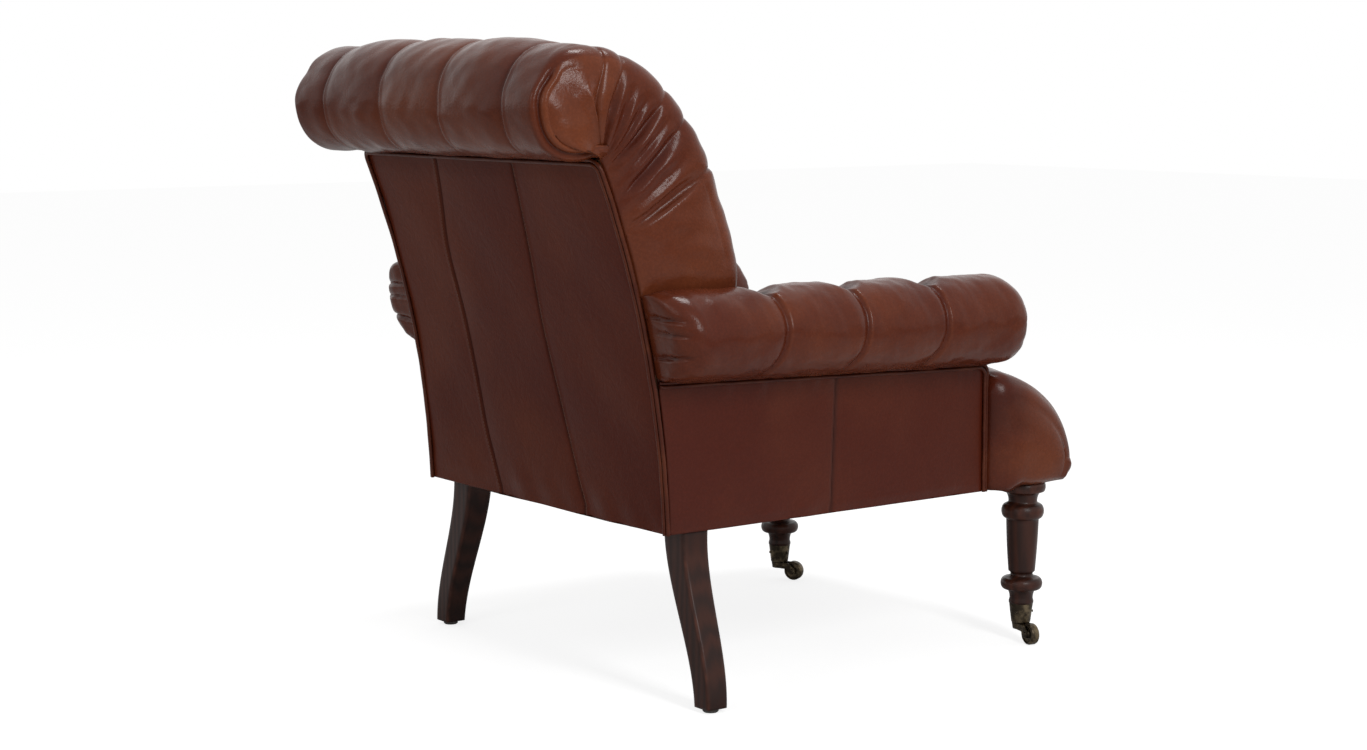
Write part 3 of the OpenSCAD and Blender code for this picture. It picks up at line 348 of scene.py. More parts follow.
def leather_nodes(t, given):
    """Pull-up leather: two sizes of mottle from ground to warm, painted shade towards the fold colour where the
    relief falls, and warmth where it rises, which is pull-up on stretched crowns and painted highlight on the lips
    and caps, with a fine pebble grain and stretch lines in its height."""
    at = t.place()
    large = t.noise(at, given["Mottle"], 2.0, 0.5, 0.5)
    medium = t.noise(at, t.times(given["Mottle"], 4.3), 5.0, 0.6, 0.4)
    fine = t.noise(at, 260.0, 3.0, 0.6)
    warm = t.step(t.plus(t.times(large, 0.74), t.times(medium, 0.26)), 0.36, 0.72, 0.0, 0.5)
    # Warmer where the relief rises: pull-up on the stretched crowns, and painted highlight on the lips and the roll's
    # caps
    crown = t.times(t.maths("MAXIMUM", given["Relief"], 0.0), 0.55)
    colour = t.blend(t.plus(warm, crown, True), given["Ground"], given["Warm"])
    speck = t.step(fine, 0.35, 0.75, 0.90, 1.08)
    grey = t.add("ShaderNodeCombineColor", {0: speck, 1: speck, 2: speck}).outputs[0]
    colour = t.blend(1.0, colour, grey, "MULTIPLY")
    # Painted shade: darker towards the fold colour where the relief falls into pleats, creases, dimples and seam
    # grooves
    deep = t.times(t.times(given["Relief"], -1.0, True), 0.85, True)
    rough = t.plus(given["Roughness"], t.times(t.maths("SUBTRACT", medium, 0.5), 0.22))
    pebble = t.add("ShaderNodeTexVoronoi", {"Vector": at, "Scale": 420.0}, feature="SMOOTH_F1").outputs[0]
    stretch = t.noise(at, 38.0, 4.0, 0.6, 1.4)
    height = t.plus(t.plus(t.times(pebble, 0.30), t.times(stretch, 1.5)), t.times(fine, 0.25))
    return t.blend(deep, colour, given["Dark"]), t.plus(rough, t.times(deep, 0.3), True), height


def grain_nodes(t, given):
    """Wood grain: rings stretched along one axis and broken by noise, with pores in the height."""
    ring = t.add("ShaderNodeTexWave",
                 {"Vector": given["Vector"], "Scale": given["Rings"], "Distortion": 5.0, "Detail": 3.0,
                  "Detail Scale": 1.4}, wave_type="BANDS", bands_direction="X").outputs[1]
    cloud = t.noise(given["Vector"], 9.0, 5.0, 0.6)
    pores = t.noise(given["Vector"], 130.0, 2.0, 0.5)
    mask = t.plus(t.times(ring, 0.55), t.times(cloud, 0.6), True)
    return t.blend(mask, given["Dark"], given["Light"]), mask, t.plus(t.times(ring, 0.3), pores)


def patina_nodes(t, given):
    """Aged metal: bright where it is rubbed, dark where noise pools, with fine pits in the height."""
    at = t.place()
    pool = t.noise(at, given["Scale"], 6.0, 0.62)
    pits = t.noise(at, 900.0, 3.0, 0.6)
    colour = t.blend(t.step(pool, 0.40, 0.66), given["Dull"], given["Bright"])
    return colour, t.step(pool, 0.3, 0.7, 0.52, 0.28), t.plus(pits, t.times(pool, 0.6))


def weave_nodes(t, given):
    """Plain weave: two waves at right angles, over and under, with slubs."""
    at = t.place()
    split = t.add("ShaderNodeSeparateXYZ", {0: at}).outputs
    along = t.maths("SINE", t.times(split[0], given["Threads"]))
    across = t.maths("SINE", t.times(t.plus(split[1], split[2]), given["Threads"]))
    over = t.maths("MAXIMUM", t.maths("ABSOLUTE", along), t.maths("ABSOLUTE", across))
    height = t.times(over, t.step(t.noise(at, 90.0, 3.0, 0.5), 0.2, 0.8, 0.7, 1.1))
    return t.blend(height, given["Gap"], given["Thread"]), height


FLOAT, COLOUR, VECTOR = "NodeSocketFloat", "NodeSocketColor", "NodeSocketVector"
# Each group's builder, its inputs and its outputs
GROUPS = {
    "leather age": (leather_nodes, {"Ground": COLOUR, "Warm": COLOUR, "Dark": COLOUR, "Relief": FLOAT,
                                    "Mottle": FLOAT, "Roughness": FLOAT},
                    {"Color": COLOUR, "Roughness": FLOAT, "Height": FLOAT}),
    "wood grain": (grain_nodes, {"Light": COLOUR, "Dark": COLOUR, "Vector": VECTOR, "Rings": FLOAT},
                   {"Color": COLOUR, "Mask": FLOAT, "Height": FLOAT}),
    "metal patina": (patina_nodes, {"Bright": COLOUR, "Dull": COLOUR, "Scale": FLOAT},
                     {"Color": COLOUR, "Roughness": FLOAT, "Height": FLOAT}),
    "plain weave": (weave_nodes, {"Thread": COLOUR, "Gap": COLOUR, "Threads": FLOAT},
                    {"Color": COLOUR, "Height": FLOAT}),
}


def grouped(t, name, values):
    """The outputs of a group's node with its inputs fed. The group is built when it is first asked for."""
    tree = bpy.data.node_groups.get(name)
    if tree is None:
        build, inputs, outputs = GROUPS[name]
        tree = bpy.data.node_groups.new(name, "ShaderNodeTree")
        for in_out, sockets in (("INPUT", inputs), ("OUTPUT", outputs)):
            for socket, kind in sockets.items():
                tree.interface.new_socket(socket, in_out=in_out, socket_type=kind)
        inner = Nodes(tree)
        given = inner.add("NodeGroupInput").outputs
        inner.add("NodeGroupOutput", dict(zip(outputs, build(inner, given))))
    return t.add("ShaderNodeGroup", values, node_tree=tree).outputs


def blank(owner):
    """The emptied node tree of a material or a world."""
    owner.use_nodes = True
    owner.node_tree.nodes.clear()
    return Nodes(owner.node_tree)


def opaque(colour, share=1.0):
    """A colour times a share, with its alpha."""
    return (*[c * share for c in colour], 1)


def shader(name, **values):
    """A new material with a Principled shader, its constants set on the shader's own sockets."""
    material = bpy.data.materials.new(name)
    t = blank(material)
    surface = t.add("ShaderNodeBsdfPrincipled", {key.replace("_", " "): value for key, value in values.items()})
    t.add("ShaderNodeOutputMaterial", {"Surface": surface.outputs[0]})
    return material, t, surface


def dress(t, surface, colour, height, strength, distance):
    """Feeds the shader its colour and, through a Bump node, its height."""
    raised = t.add("ShaderNodeBump", {"Height": height, "Strength": strength, "Distance": distance})
    t.feed(surface, {"Base Color": colour, "Normal": raised.outputs[0]})


def leather_material(name, shade=1.0, roughness=None, mottle=None, pull=1.0, gloss=1.0):
    """Leather from the leather settings, with painted shade in its folds and, where it rises, pull-up warmth and
    painted highlight, both read from the pieces' relief. Pull is how far the warm patches differ from the ground,
    gloss a share of the leather's gloss."""
    skin = bpy.context.scene.armchair_leather
    material, t, surface = shader(name, Coat_Weight=skin.coat, Coat_Roughness=0.30,
                                  Specular_IOR_Level=skin.sheen * gloss)
    warm = [mix(a, b, pull) for a, b in zip(skin.ground, skin.warm)]
    age = grouped(t, "leather age", {
        "Ground": opaque(skin.ground, shade), "Warm": opaque(warm, shade), "Dark": opaque(skin.fold, shade),
        "Relief": t.add("ShaderNodeAttribute", attribute_name="relief").outputs["Fac"],
        "Mottle": mottle or skin.mottle, "Roughness": roughness or skin.roughness})
    t.feed(surface, {"Roughness": age["Roughness"]})
    dress(t, surface, age["Color"], age["Height"], 0.28, 0.0014)
    return material


def wood_material(name, light, dark, rings, stretch, roughness, coat, bump_depth):
    """Wood with its grain along the axis that is stretched most, paler where its relief says that it is rubbed."""
    material, t, surface = shader(name, Coat_Weight=coat, Coat_Roughness=0.25, Specular_IOR_Level=0.18)
    at = t.place()
    mapped = t.add("ShaderNodeMapping", {"Vector": at, "Scale": stretch}).outputs[0]
    grain = grouped(t, "wood grain", {"Light": opaque(light), "Dark": opaque(dark), "Rings": rings, "Vector": mapped})
    worn = t.add("ShaderNodeAttribute", attribute_name="relief").outputs["Fac"]
    rubbed = t.times(worn, t.step(t.noise(at, 45.0, 4.0, 0.6), 0.35, 0.65), True)
    pale = (*[min(1, 3.2 * c) for c in light], 1)
    t.feed(surface, {"Roughness": t.step(grain["Mask"], 0, 1, roughness + 0.1, roughness - 0.06)})
    dress(t, surface, t.blend(rubbed, grain["Color"], pale), grain["Height"], 0.25, bump_depth)
    return material


def metal_material(name, bright, dull, scale, metallic=1.0):
    """Aged metal."""
    material, t, surface = shader(name, Metallic=metallic)
    patina = grouped(t, "metal patina", {"Bright": opaque(bright), "Dull": opaque(dull), "Scale": scale})
    t.feed(surface, {"Roughness": patina["Roughness"]})
    dress(t, surface, patina["Color"], patina["Height"], 0.2, 0.0004)
    return material


def cloth_material(name, thread, gap, threads):
    """Plain woven cloth."""
    material, t, surface = shader(name, Roughness=0.85, Specular_IOR_Level=0.2)
    weave = grouped(t, "plain weave", {"Thread": opaque(thread), "Gap": opaque(gap), "Threads": threads})
    dress(t, surface, weave["Color"], weave["Height"], 0.5, 0.0005)
    return material


def thread_material(name):
    """Waxed thread, a little lighter than the leather."""
    material, t, surface = shader(name, Specular_IOR_Level=0.3)
    twist = t.noise(t.place(), 700.0, 2.0, 0.5)
    t.feed(surface, {"Base Color": t.blend(twist, (0.06, 0.024, 0.014, 1), (0.20, 0.09, 0.05, 1)),
                     "Roughness": t.step(twist, 0, 1, 0.5, 0.7)})
    return material


def makers():
    """Each finish's maker with the maker's values."""
    wood, metal = bpy.context.scene.armchair_wood, bpy.context.scene.armchair_metal
    return {
        "leather": (leather_material,),
        # The first value after a leather maker scales its colours: leather_flat and leather_side are lightened copies
        # of the leather, painted light on the outside back and the side panels; leather_welt and leather_button are
        # darker copies
        "leather_flat": (leather_material, 1.12, 0.32, 2.6, 0.5, 0.45),
        "leather_side": (leather_material, 1.06, 0.32, 2.6, 0.5, 0.95),
        "leather_welt": (leather_material, 0.8, 0.34, 16.0),
        "leather_button": (leather_material, 0.8, 0.36, 30.0),
        "leg_wood": (wood_material, wood.stain_light, wood.stain_dark, 26.0, (1.0, 1.0, 0.12), 0.34, 0.05, 0.0005),
        "frame_wood": (wood_material, (0.17, 0.090, 0.048), (0.10, 0.050, 0.026), 18.0, (1.0, 0.2, 1.0),
                       0.6, 0.0, 0.0008),
        "antique_brass": (metal_material, metal.brass, metal.tarnish, 70.0),
        "steel": (metal_material, (0.55, 0.55, 0.56), (0.22, 0.21, 0.21), 40.0),
        "plate_black": (metal_material, (0.05, 0.05, 0.05), (0.02, 0.02, 0.02), 40.0, 0.3),
        "glide_plastic": (metal_material, (0.10, 0.09, 0.08), (0.05, 0.045, 0.04), 90.0, 0.0),
        "jute": (cloth_material, (0.50, 0.38, 0.22), (0.18, 0.12, 0.06), 900.0),
        "dust_cloth": (cloth_material, (0.035, 0.035, 0.035), (0.012, 0.012, 0.012), 1800.0),
        "thread": (thread_material,),
    }


def finish(name):
    """The material for a slot or a special finish, made when it is first asked for. Its name differs from the
    frame's own plain material of that slot."""
    own = f"{name}_finish"
    maker, *values = makers()[name]
    return bpy.data.materials.get(own) or maker(own, *values)


# Settings

class ArmchairUpholstery(bpy.types.PropertyGroup):
    """Sizes of the tufting, the folds and the sewn lines."""

    pitch: bpy.props.FloatProperty(
        name="Button distance", description="Distance between two buttons in a row of the back",
        default=0.155, min=0.1, max=0.2, unit="LENGTH")
    row: bpy.props.FloatProperty(
        name="Row distance", description="Distance between two rows of back buttons along the pad",
        default=0.095, min=0.06, max=0.12, unit="LENGTH")
    first_row: bpy.props.FloatProperty(
        name="First row", description="Distance from the crest to the top row of buttons",
        default=0.185, min=0.1, max=0.25, unit="LENGTH")
    pleat: bpy.props.FloatProperty(
        name="Pleat depth", description="Depth of a pleat in the back",
        default=0.011, min=0.002, max=0.02, unit="LENGTH")
    dimple: bpy.props.FloatProperty(
        name="Button depth", description="Depth that a button adds to its pleats",
        default=0.009, min=0.0, max=0.02, unit="LENGTH")
    crown: bpy.props.FloatProperty(
        name="Puff crown", description="How far a puff stands out over the plain form",
        default=0.003, min=0.0, max=0.01, unit="LENGTH")
    arm_pleat: bpy.props.FloatProperty(
        name="Arm pleat depth", description="Depth of a pleat in an arm roll",
        default=0.0085, min=0.002, max=0.02, unit="LENGTH")
    cord: bpy.props.FloatProperty(
        name="Welt radius", description="Radius of one cord of a double welt",
        default=0.0027, min=0.001, max=0.005, unit="LENGTH")
    button: bpy.props.FloatProperty(
        name="Button radius", description="Radius of a covered button",
        default=0.0112, min=0.006, max=0.015, unit="LENGTH")
    stitch: bpy.props.FloatProperty(
        name="Stitch length", description="Length of one stitch",
        default=0.0052, min=0.002, max=0.01, unit="LENGTH")


class ArmchairLeather(bpy.types.PropertyGroup):
    """Colours and gloss of the leather."""

    ground: bpy.props.FloatVectorProperty(
        name="Ground", description="Main colour of the leather",
        default=(0.061, 0.0098, 0.0044), min=0, max=1, subtype="COLOR")
    # The warm colour is also the tint of the painted highlight on the lips and the roll's caps
    warm: bpy.props.FloatVectorProperty(
        name="Pulled up", description="Colour where the leather is stretched and rubbed",
        default=(0.165, 0.043, 0.0155), min=0, max=1, subtype="COLOR")
    # Painted shade: the colour that the leather is darkened towards down in its folds, creases, dimples and seam
    # grooves
    fold: bpy.props.FloatVectorProperty(
        name="Folds", description="Colour down in the folds",
        default=(0.010, 0.003, 0.002), min=0, max=1, subtype="COLOR")
    roughness: bpy.props.FloatProperty(
        name="Roughness", description="Mean roughness of the surface",
        default=0.25, min=0.1, max=1, subtype="FACTOR")
    coat: bpy.props.FloatProperty(
        name="Wax coat", description="Weight of the waxy coat",
        default=0.0, min=0, max=1, subtype="FACTOR")
    sheen: bpy.props.FloatProperty(
        name="Gloss", description="Strength of the reflection straight on",
        default=0.15, min=0, max=1, subtype="FACTOR")
    mottle: bpy.props.FloatProperty(
        name="Mottle", description="How many patches of mottle lie in a metre",
        default=3.6, min=1, max=30)


class ArmchairWood(bpy.types.PropertyGroup):
    """Colours of the legs."""

    stain_light: bpy.props.FloatVectorProperty(
        name="Stain, light grain", description="Stained wood in its light grain",
        default=(0.044, 0.0135, 0.0078), min=0, max=1, subtype="COLOR")
    stain_dark: bpy.props.FloatVectorProperty(
        name="Stain, dark grain", description="Stained wood in its dark grain",
        default=(0.008, 0.0035, 0.0028), min=0, max=1, subtype="COLOR")


class ArmchairMetal(bpy.types.PropertyGroup):
    """Colours of the casters."""

    brass: bpy.props.FloatVectorProperty(
        name="Brass", description="Rubbed brass",
        default=(0.17, 0.13, 0.08), min=0, max=1, subtype="COLOR")
    tarnish: bpy.props.FloatVectorProperty(
        name="Tarnish", description="Brass gone dark",
        default=(0.040, 0.031, 0.022), min=0, max=1, subtype="COLOR")


class ArmchairStage(bpy.types.PropertyGroup):
    """The camera's lens, the lamps and the ambient light."""

    lens: bpy.props.FloatProperty(
        name="Lens", description="Focal length on a 36 mm sensor, in mm", default=64.15, min=20, max=200)
    key: bpy.props.FloatProperty(
        name="Main lamp", description="Power of the main lamp", default=40.0, min=0, max=500, unit="POWER")
    fill: bpy.props.FloatProperty(
        name="Fill lamp", description="Power of the fill lamp", default=11.5, min=0, max=500, unit="POWER")
    top: bpy.props.FloatProperty(
        name="Top lamp", description="Power of the lamp overhead", default=30.0, min=0, max=500, unit="POWER")
    ambient: bpy.props.FloatProperty(
        name="Ambient", description="Strength of the even light all round", default=0.42, min=0, max=2)


# Back cushion

def back_line(w):
    """The cushion's outline in side view, at length w from the crest: forward of it a quarter ellipse and then
    straight down, and behind it the roll's circle, which sags below, and a short run to the seam."""
    front = 0.5 * np.pi * np.clip(w, 0, QUARTER) / QUARTER
    y = SCROLL_Y - CREST_L * np.sin(front)
    z = LUMBAR_Z + CREST_H * np.cos(front) - np.maximum(w - QUARTER, 0)
    turn = np.clip(-w / SCROLL_R, 0, ROLL_TURN)
    radius = SCROLL_R + ROLL_SAG * bump(turn - SAG_AT, 0.62)
    y = np.where(w < 0, SCROLL_Y + radius * np.sin(turn), y)
    z = np.where(w < 0, SCROLL_Z + radius * np.cos(turn), z)
    beyond = np.clip((-w - SCROLL_R * ROLL_TURN) / REAR_RUN, 0, 1)
    seam = BACK_TOP + SEAM_LIFT
    return mix(y, sweep_y(seam, COVER_DEPTH), beyond), mix(z, seam, beyond)


def line_normal(w):
    """The outline's outward direction at w, as its Y and Z parts: square to the line between two near places."""
    ya, za = back_line(w - 0.0005)
    yb, zb = back_line(w + 0.0005)
    length = np.hypot(yb - ya, zb - za)
    return (zb - za) / length, (ya - yb) / length


def back_half(z):
    """Half width of the cushion at height z: widest in the roll, nearly as wide above the arms, and in between
    the posts at its foot."""
    wide = mix(0.319, SCROLL_HALF, smooth((z - BACK_TOP + 0.06) / 0.09))
    over_arms = mix(0.3077, wide, smooth((z - 0.545) / 0.05))
    return mix(0.2622, over_arms, smooth((z - 0.485) / 0.03))


def thinning(x, rise):
    """How far the crest and the shoulders lie below their middle at x, where rise is the normal's upward share."""
    return SIDE_THIN * smooth((np.abs(x) - MIDDLE_HALF) / (SCROLL_HALF - MIDDLE_HALF)) * smooth(2 * rise)


def button_columns(row):
    """Places of the buttons in a row of the back, in steps of the pitch: four and three in turn."""
    return (-1.5, -0.5, 0.5, 1.5) if row % 2 == 0 else (-1.0, 0.0, 1.0)


def tufting(x, w, cover):
    """Depth of the tufting at x and length w: channels over the roll, diamonds between the rows of buttons,
    channels below them, a dimple round each button, and straight pleats from the outer buttons to the edge."""
    u = x / cover.pitch - 0.5
    v = (w - cover.first_row) / cover.row
    channels = fold(u, 0.34)
    diamonds = 1 - (1 - fold(u + v / 2)) * (1 - fold(u - v / 2))
    outer = smooth((np.abs(x) - 1.5 * cover.pitch) / 0.035)
    edge = bump(w - cover.first_row, 0.010) + bump(w - cover.first_row - 2 * cover.row, 0.010)
    edge = edge * (1 - smooth((np.abs(x) - 0.250) / 0.055))
    rows = np.where(v > BUTTON_ROWS - 1, fold(u + 0.5), mix(diamonds, edge, outer))
    folds = np.where(v < 0, channels * np.where(v < -0.3, 1, 1 - 0.6 * outer), rows)
    fall = np.interp(w, [-REAR_END, -REAR_END + 0.02, -0.12, 0, 0.12, cover.first_row],
                     [0.2, 0.3, 0.5, 0.66, 0.85, 1.0])
    lip = np.abs(x) - 0.5 * cover.pitch - np.round(np.abs(x) / cover.pitch - 0.5) * cover.pitch
    depth = cover.pleat * folds * fall - 0.0011 * bump(lip * np.sign(x) + 0.006, 0.004) * smooth(-v / 0.5)
    for row in range(BUTTON_ROWS):
        for column in button_columns(row):
            r = np.hypot(x - column * cover.pitch, w - cover.first_row - row * cover.row)
            depth = depth + cover.dimple * np.clip(1.6 * (1 - (r / 0.030) ** 2), 0, 1)
    return depth


def fan_folds(w, run):
    """Depth of the folds that gather at a side's meeting point, at length w along the rim and a share run of the
    way to the point: sharp creases with round puffs between them, finer gathers between them near the point, none
    below the last."""
    place = np.interp(w, FAN, np.arange(len(FAN)))
    last = w - FAN[-1]
    creases = np.where(last > 0, bump(last, 0.007), fold(place, 0.42)) * (1 - smooth(last / 0.012))
    double = 0.5 * bump(last + 0.010, 0.003) * smooth((run - 0.1) / 0.3)
    creases = (creases + double) * smooth((w - FAN[0]) / 0.03)
    height = np.interp(run, [0, 0.3, 0.6, 0.85, 1], [0.0030, 0.0054, 0.0056, 0.0028, 0])
    gathers = np.interp(w, FAN, [0, 1, 2, 5, 7, 9])
    fine = 0.5 + 0.5 * np.cos(2 * np.pi * gathers)
    fine = fine * np.interp(run, [0, 0.12, 0.4, 0.75, 1], [0.05, 0.45, 1, 0.55, 0])
    fine = fine * smooth((w - 0.060) / 0.03) * (1 - smooth((w - 0.300) / 0.02))
    return height * creases + 0.0036 * fine


def at_sides(values, count, between):
    """One value per place across the cushion: the right side's values, their mirror image on the left, and one
    value between them."""
    return np.concatenate([values[::-1], np.full(count - 2 * len(values), between), values])


def back_surface(cover):
    """The cushion as rings across it: along the outline, over a rounded rim, and down each side to where the
    folds meet. Returns the points and their relief, which carries pull-up on the crowns, painted highlight and
    painted shade."""
    w = np.concatenate([np.linspace(-REAR_END, 0, 100, endpoint=False), np.linspace(0, 0.28, 130, endpoint=False),
                        np.linspace(0.28, 0.52, 70, endpoint=False), np.linspace(0.52, FRONT_END, 22)])[:, None]
    round_r = mix(CORNER_R, ROLL_CORNER_R, smooth((-w - 0.01) / 0.06))
    flat = np.linspace(-1, 1, 200) * (SCROLL_HALF - round_r)
    corner = np.linspace(0, np.pi / 2, 13)[1:]
    run = np.linspace(0, 1, 40)[1:] ** 1.1
    y, z = back_line(w)
    ny, nz = line_normal(w)
    half = mix(back_half(z), CAP_HALF, smooth((-w - 0.01) / 0.07))
    inner = 1.6 * cover.pitch

    def laid(x, shy):
        """Points at x that lie shy of the outline, with what is past the buttons spread to the half width."""
        share = (np.abs(x) - inner) / (SCROLL_HALF - inner)
        x = np.where(np.abs(x) <= inner, x, np.sign(x) * mix(inner, half, share))
        return np.stack(np.broadcast_arrays(x, y - ny * shy, z - nz * shy), -1)

    middle = laid(flat, thinning(flat, nz))
    near_rim = smooth((np.abs(flat) - SCROLL_HALF + round_r + 0.040) / 0.040)
    depth = tufting(flat, w, cover) + fan_folds(w, 0 * flat) * near_rim * smooth((w + 0.01) / 0.02)
    rim_x = SCROLL_HALF - round_r + round_r * np.sin(corner)
    rim = laid(rim_x, round_r * (1 - np.cos(corner)) + thinning(rim_x, nz))
    rim_depth = tufting(rim_x, w, cover) * (1 - smooth(corner / 0.8)) + fan_folds(w, 0 * rim_x)

    # The sides, from the rim to the line that the folds run to
    anchor_z = np.interp(w, [0.10, 0.180, 0.231, 0.310, 0.37, QUARTER, FRONT_END],
                         [FAN_Z, 0.733, 0.690, 0.652, 0.60, 0.545, PAD_Z])
    anchor_y = np.where(w < 0.1, FAN_Y, sweep_y(anchor_z, 0.004))
    start = rim[:, -1:]
    anchor = np.stack([np.minimum(ANCHOR_X, half - 0.002), anchor_y, anchor_z], -1)
    side = mix(start, anchor, run[None, :, None])
    side[..., 1] += 0.016 * bump(w - 0.035, 0.055) * np.sin(np.pi * run)
    cap = 0.008 * smooth((0.05 - w) / 0.07) * smooth((w + REAR_END) / 0.06)
    low_puff = 0.006 * smooth((w - 0.300) / 0.05)
    swell = (0.003 + cap + low_puff) * np.sin(np.pi * run) ** 0.8 * smooth((z - 0.55) / 0.1)
    side[..., 0] = anchor[..., 0] + (start[..., 0] - anchor[..., 0]) * (1 - run**2.4) + swell

    # The seam round each cap of the roll
    sewn = smooth((-w - 0.055) / 0.03) * smooth((w + REAR_END) / 0.01)
    seam = 0.0016 * bump(corner - 1.35, 0.2) * sewn
    groove = 0.0046 * bump(corner - 0.80, 0.26) * sewn
    points = both_halves(middle, np.concatenate([rim, side], 1))
    depth = both_halves(depth, np.concatenate([rim_depth + groove - seam, fan_folds(w, run)], 1), 1)

    # The directions of the offsets, which turn straight sideways towards the meeting point
    n = outward_normals(points, (0, 0.36, 0.66))
    count = points.shape[1]
    sideways = np.zeros_like(n)
    sideways[..., 0] = np.sign(points[..., 0])
    n = mix(n, sideways, at_sides(smooth((run - 0.3) / 0.4), count, 0.0)[None, :, None])
    # The first ring takes the directions of one further in
    n[0] = n[2]
    n = n / np.linalg.norm(n, axis=-1, keepdims=True)
    crown = cover.crown * smooth(1 - depth / 0.006)
    uneven = 0.0012 * waves(points, 0.09, 7) + 0.0005 * waves(points, 0.03, 8)
    fade = smooth((w + REAR_END) / 0.03) * at_sides(smooth((1 - run) / 0.25), count, 1.0)
    points = points + n * ((crown + uneven) * fade - depth)[..., None]

    # Relief for the leather: warmer on the crowns, where pull-up leather lightens; painted highlight on the raised
    # lips; painted shade where the pleats, creases and dimples are deep
    front = smooth(w / 0.10)
    relief = 0.25 * crown / cover.crown + np.where(depth < 0, 0.6, 0.0)
    relief = relief - np.clip((depth - mix(0.0035, 0.0060, front)) / mix(0.006, 0.016, front), 0, 1)
    end_cap = at_sides(np.ones(len(run) + 5), count, 0.0)
    # Warmer over each cap of the roll and low on each side: partly pull-up of the leather stretched there, partly
    # painted highlight
    relief = relief + 0.5 * end_cap * smooth((0.10 - w) / 0.05) * smooth((w + REAR_END) / 0.05)
    relief = relief + 0.45 * end_cap * smooth((w - 0.24) / 0.06) * smooth((z - 0.5) / 0.05)
    return points, np.clip(relief, -1, 1)


class ARMCHAIR_OT_back_cushion(bpy.types.Operator):
    """Builds the tufted back cushion with its top roll."""

    bl_idname = "armchair.back_cushion"
    bl_label = "Back cushion"

    def execute(self, context):
        points, relief = back_surface(context.scene.armchair_upholstery)
        piece = add_tube("back_cushion", points, "leather", relief=relief)
        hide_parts("back_pad")
        return {"FINISHED"}


# Arm rolls

def roll_top(y):
    """Height of an arm roll's top, which falls a little towards its front."""
    return ROLL_TOP - ROLL_DROP * smooth((ARM_PLEATS[2] - y) / (ARM_PLEATS[2] - ROLL_FRONT))


def crease(d, ahead, behind):
    """A sharp crease of depth 1 over distance d, that runs out exponentially, over one length ahead of it and
    another behind."""
    return np.exp(-np.abs(d) / np.where(d > 0, ahead, behind))


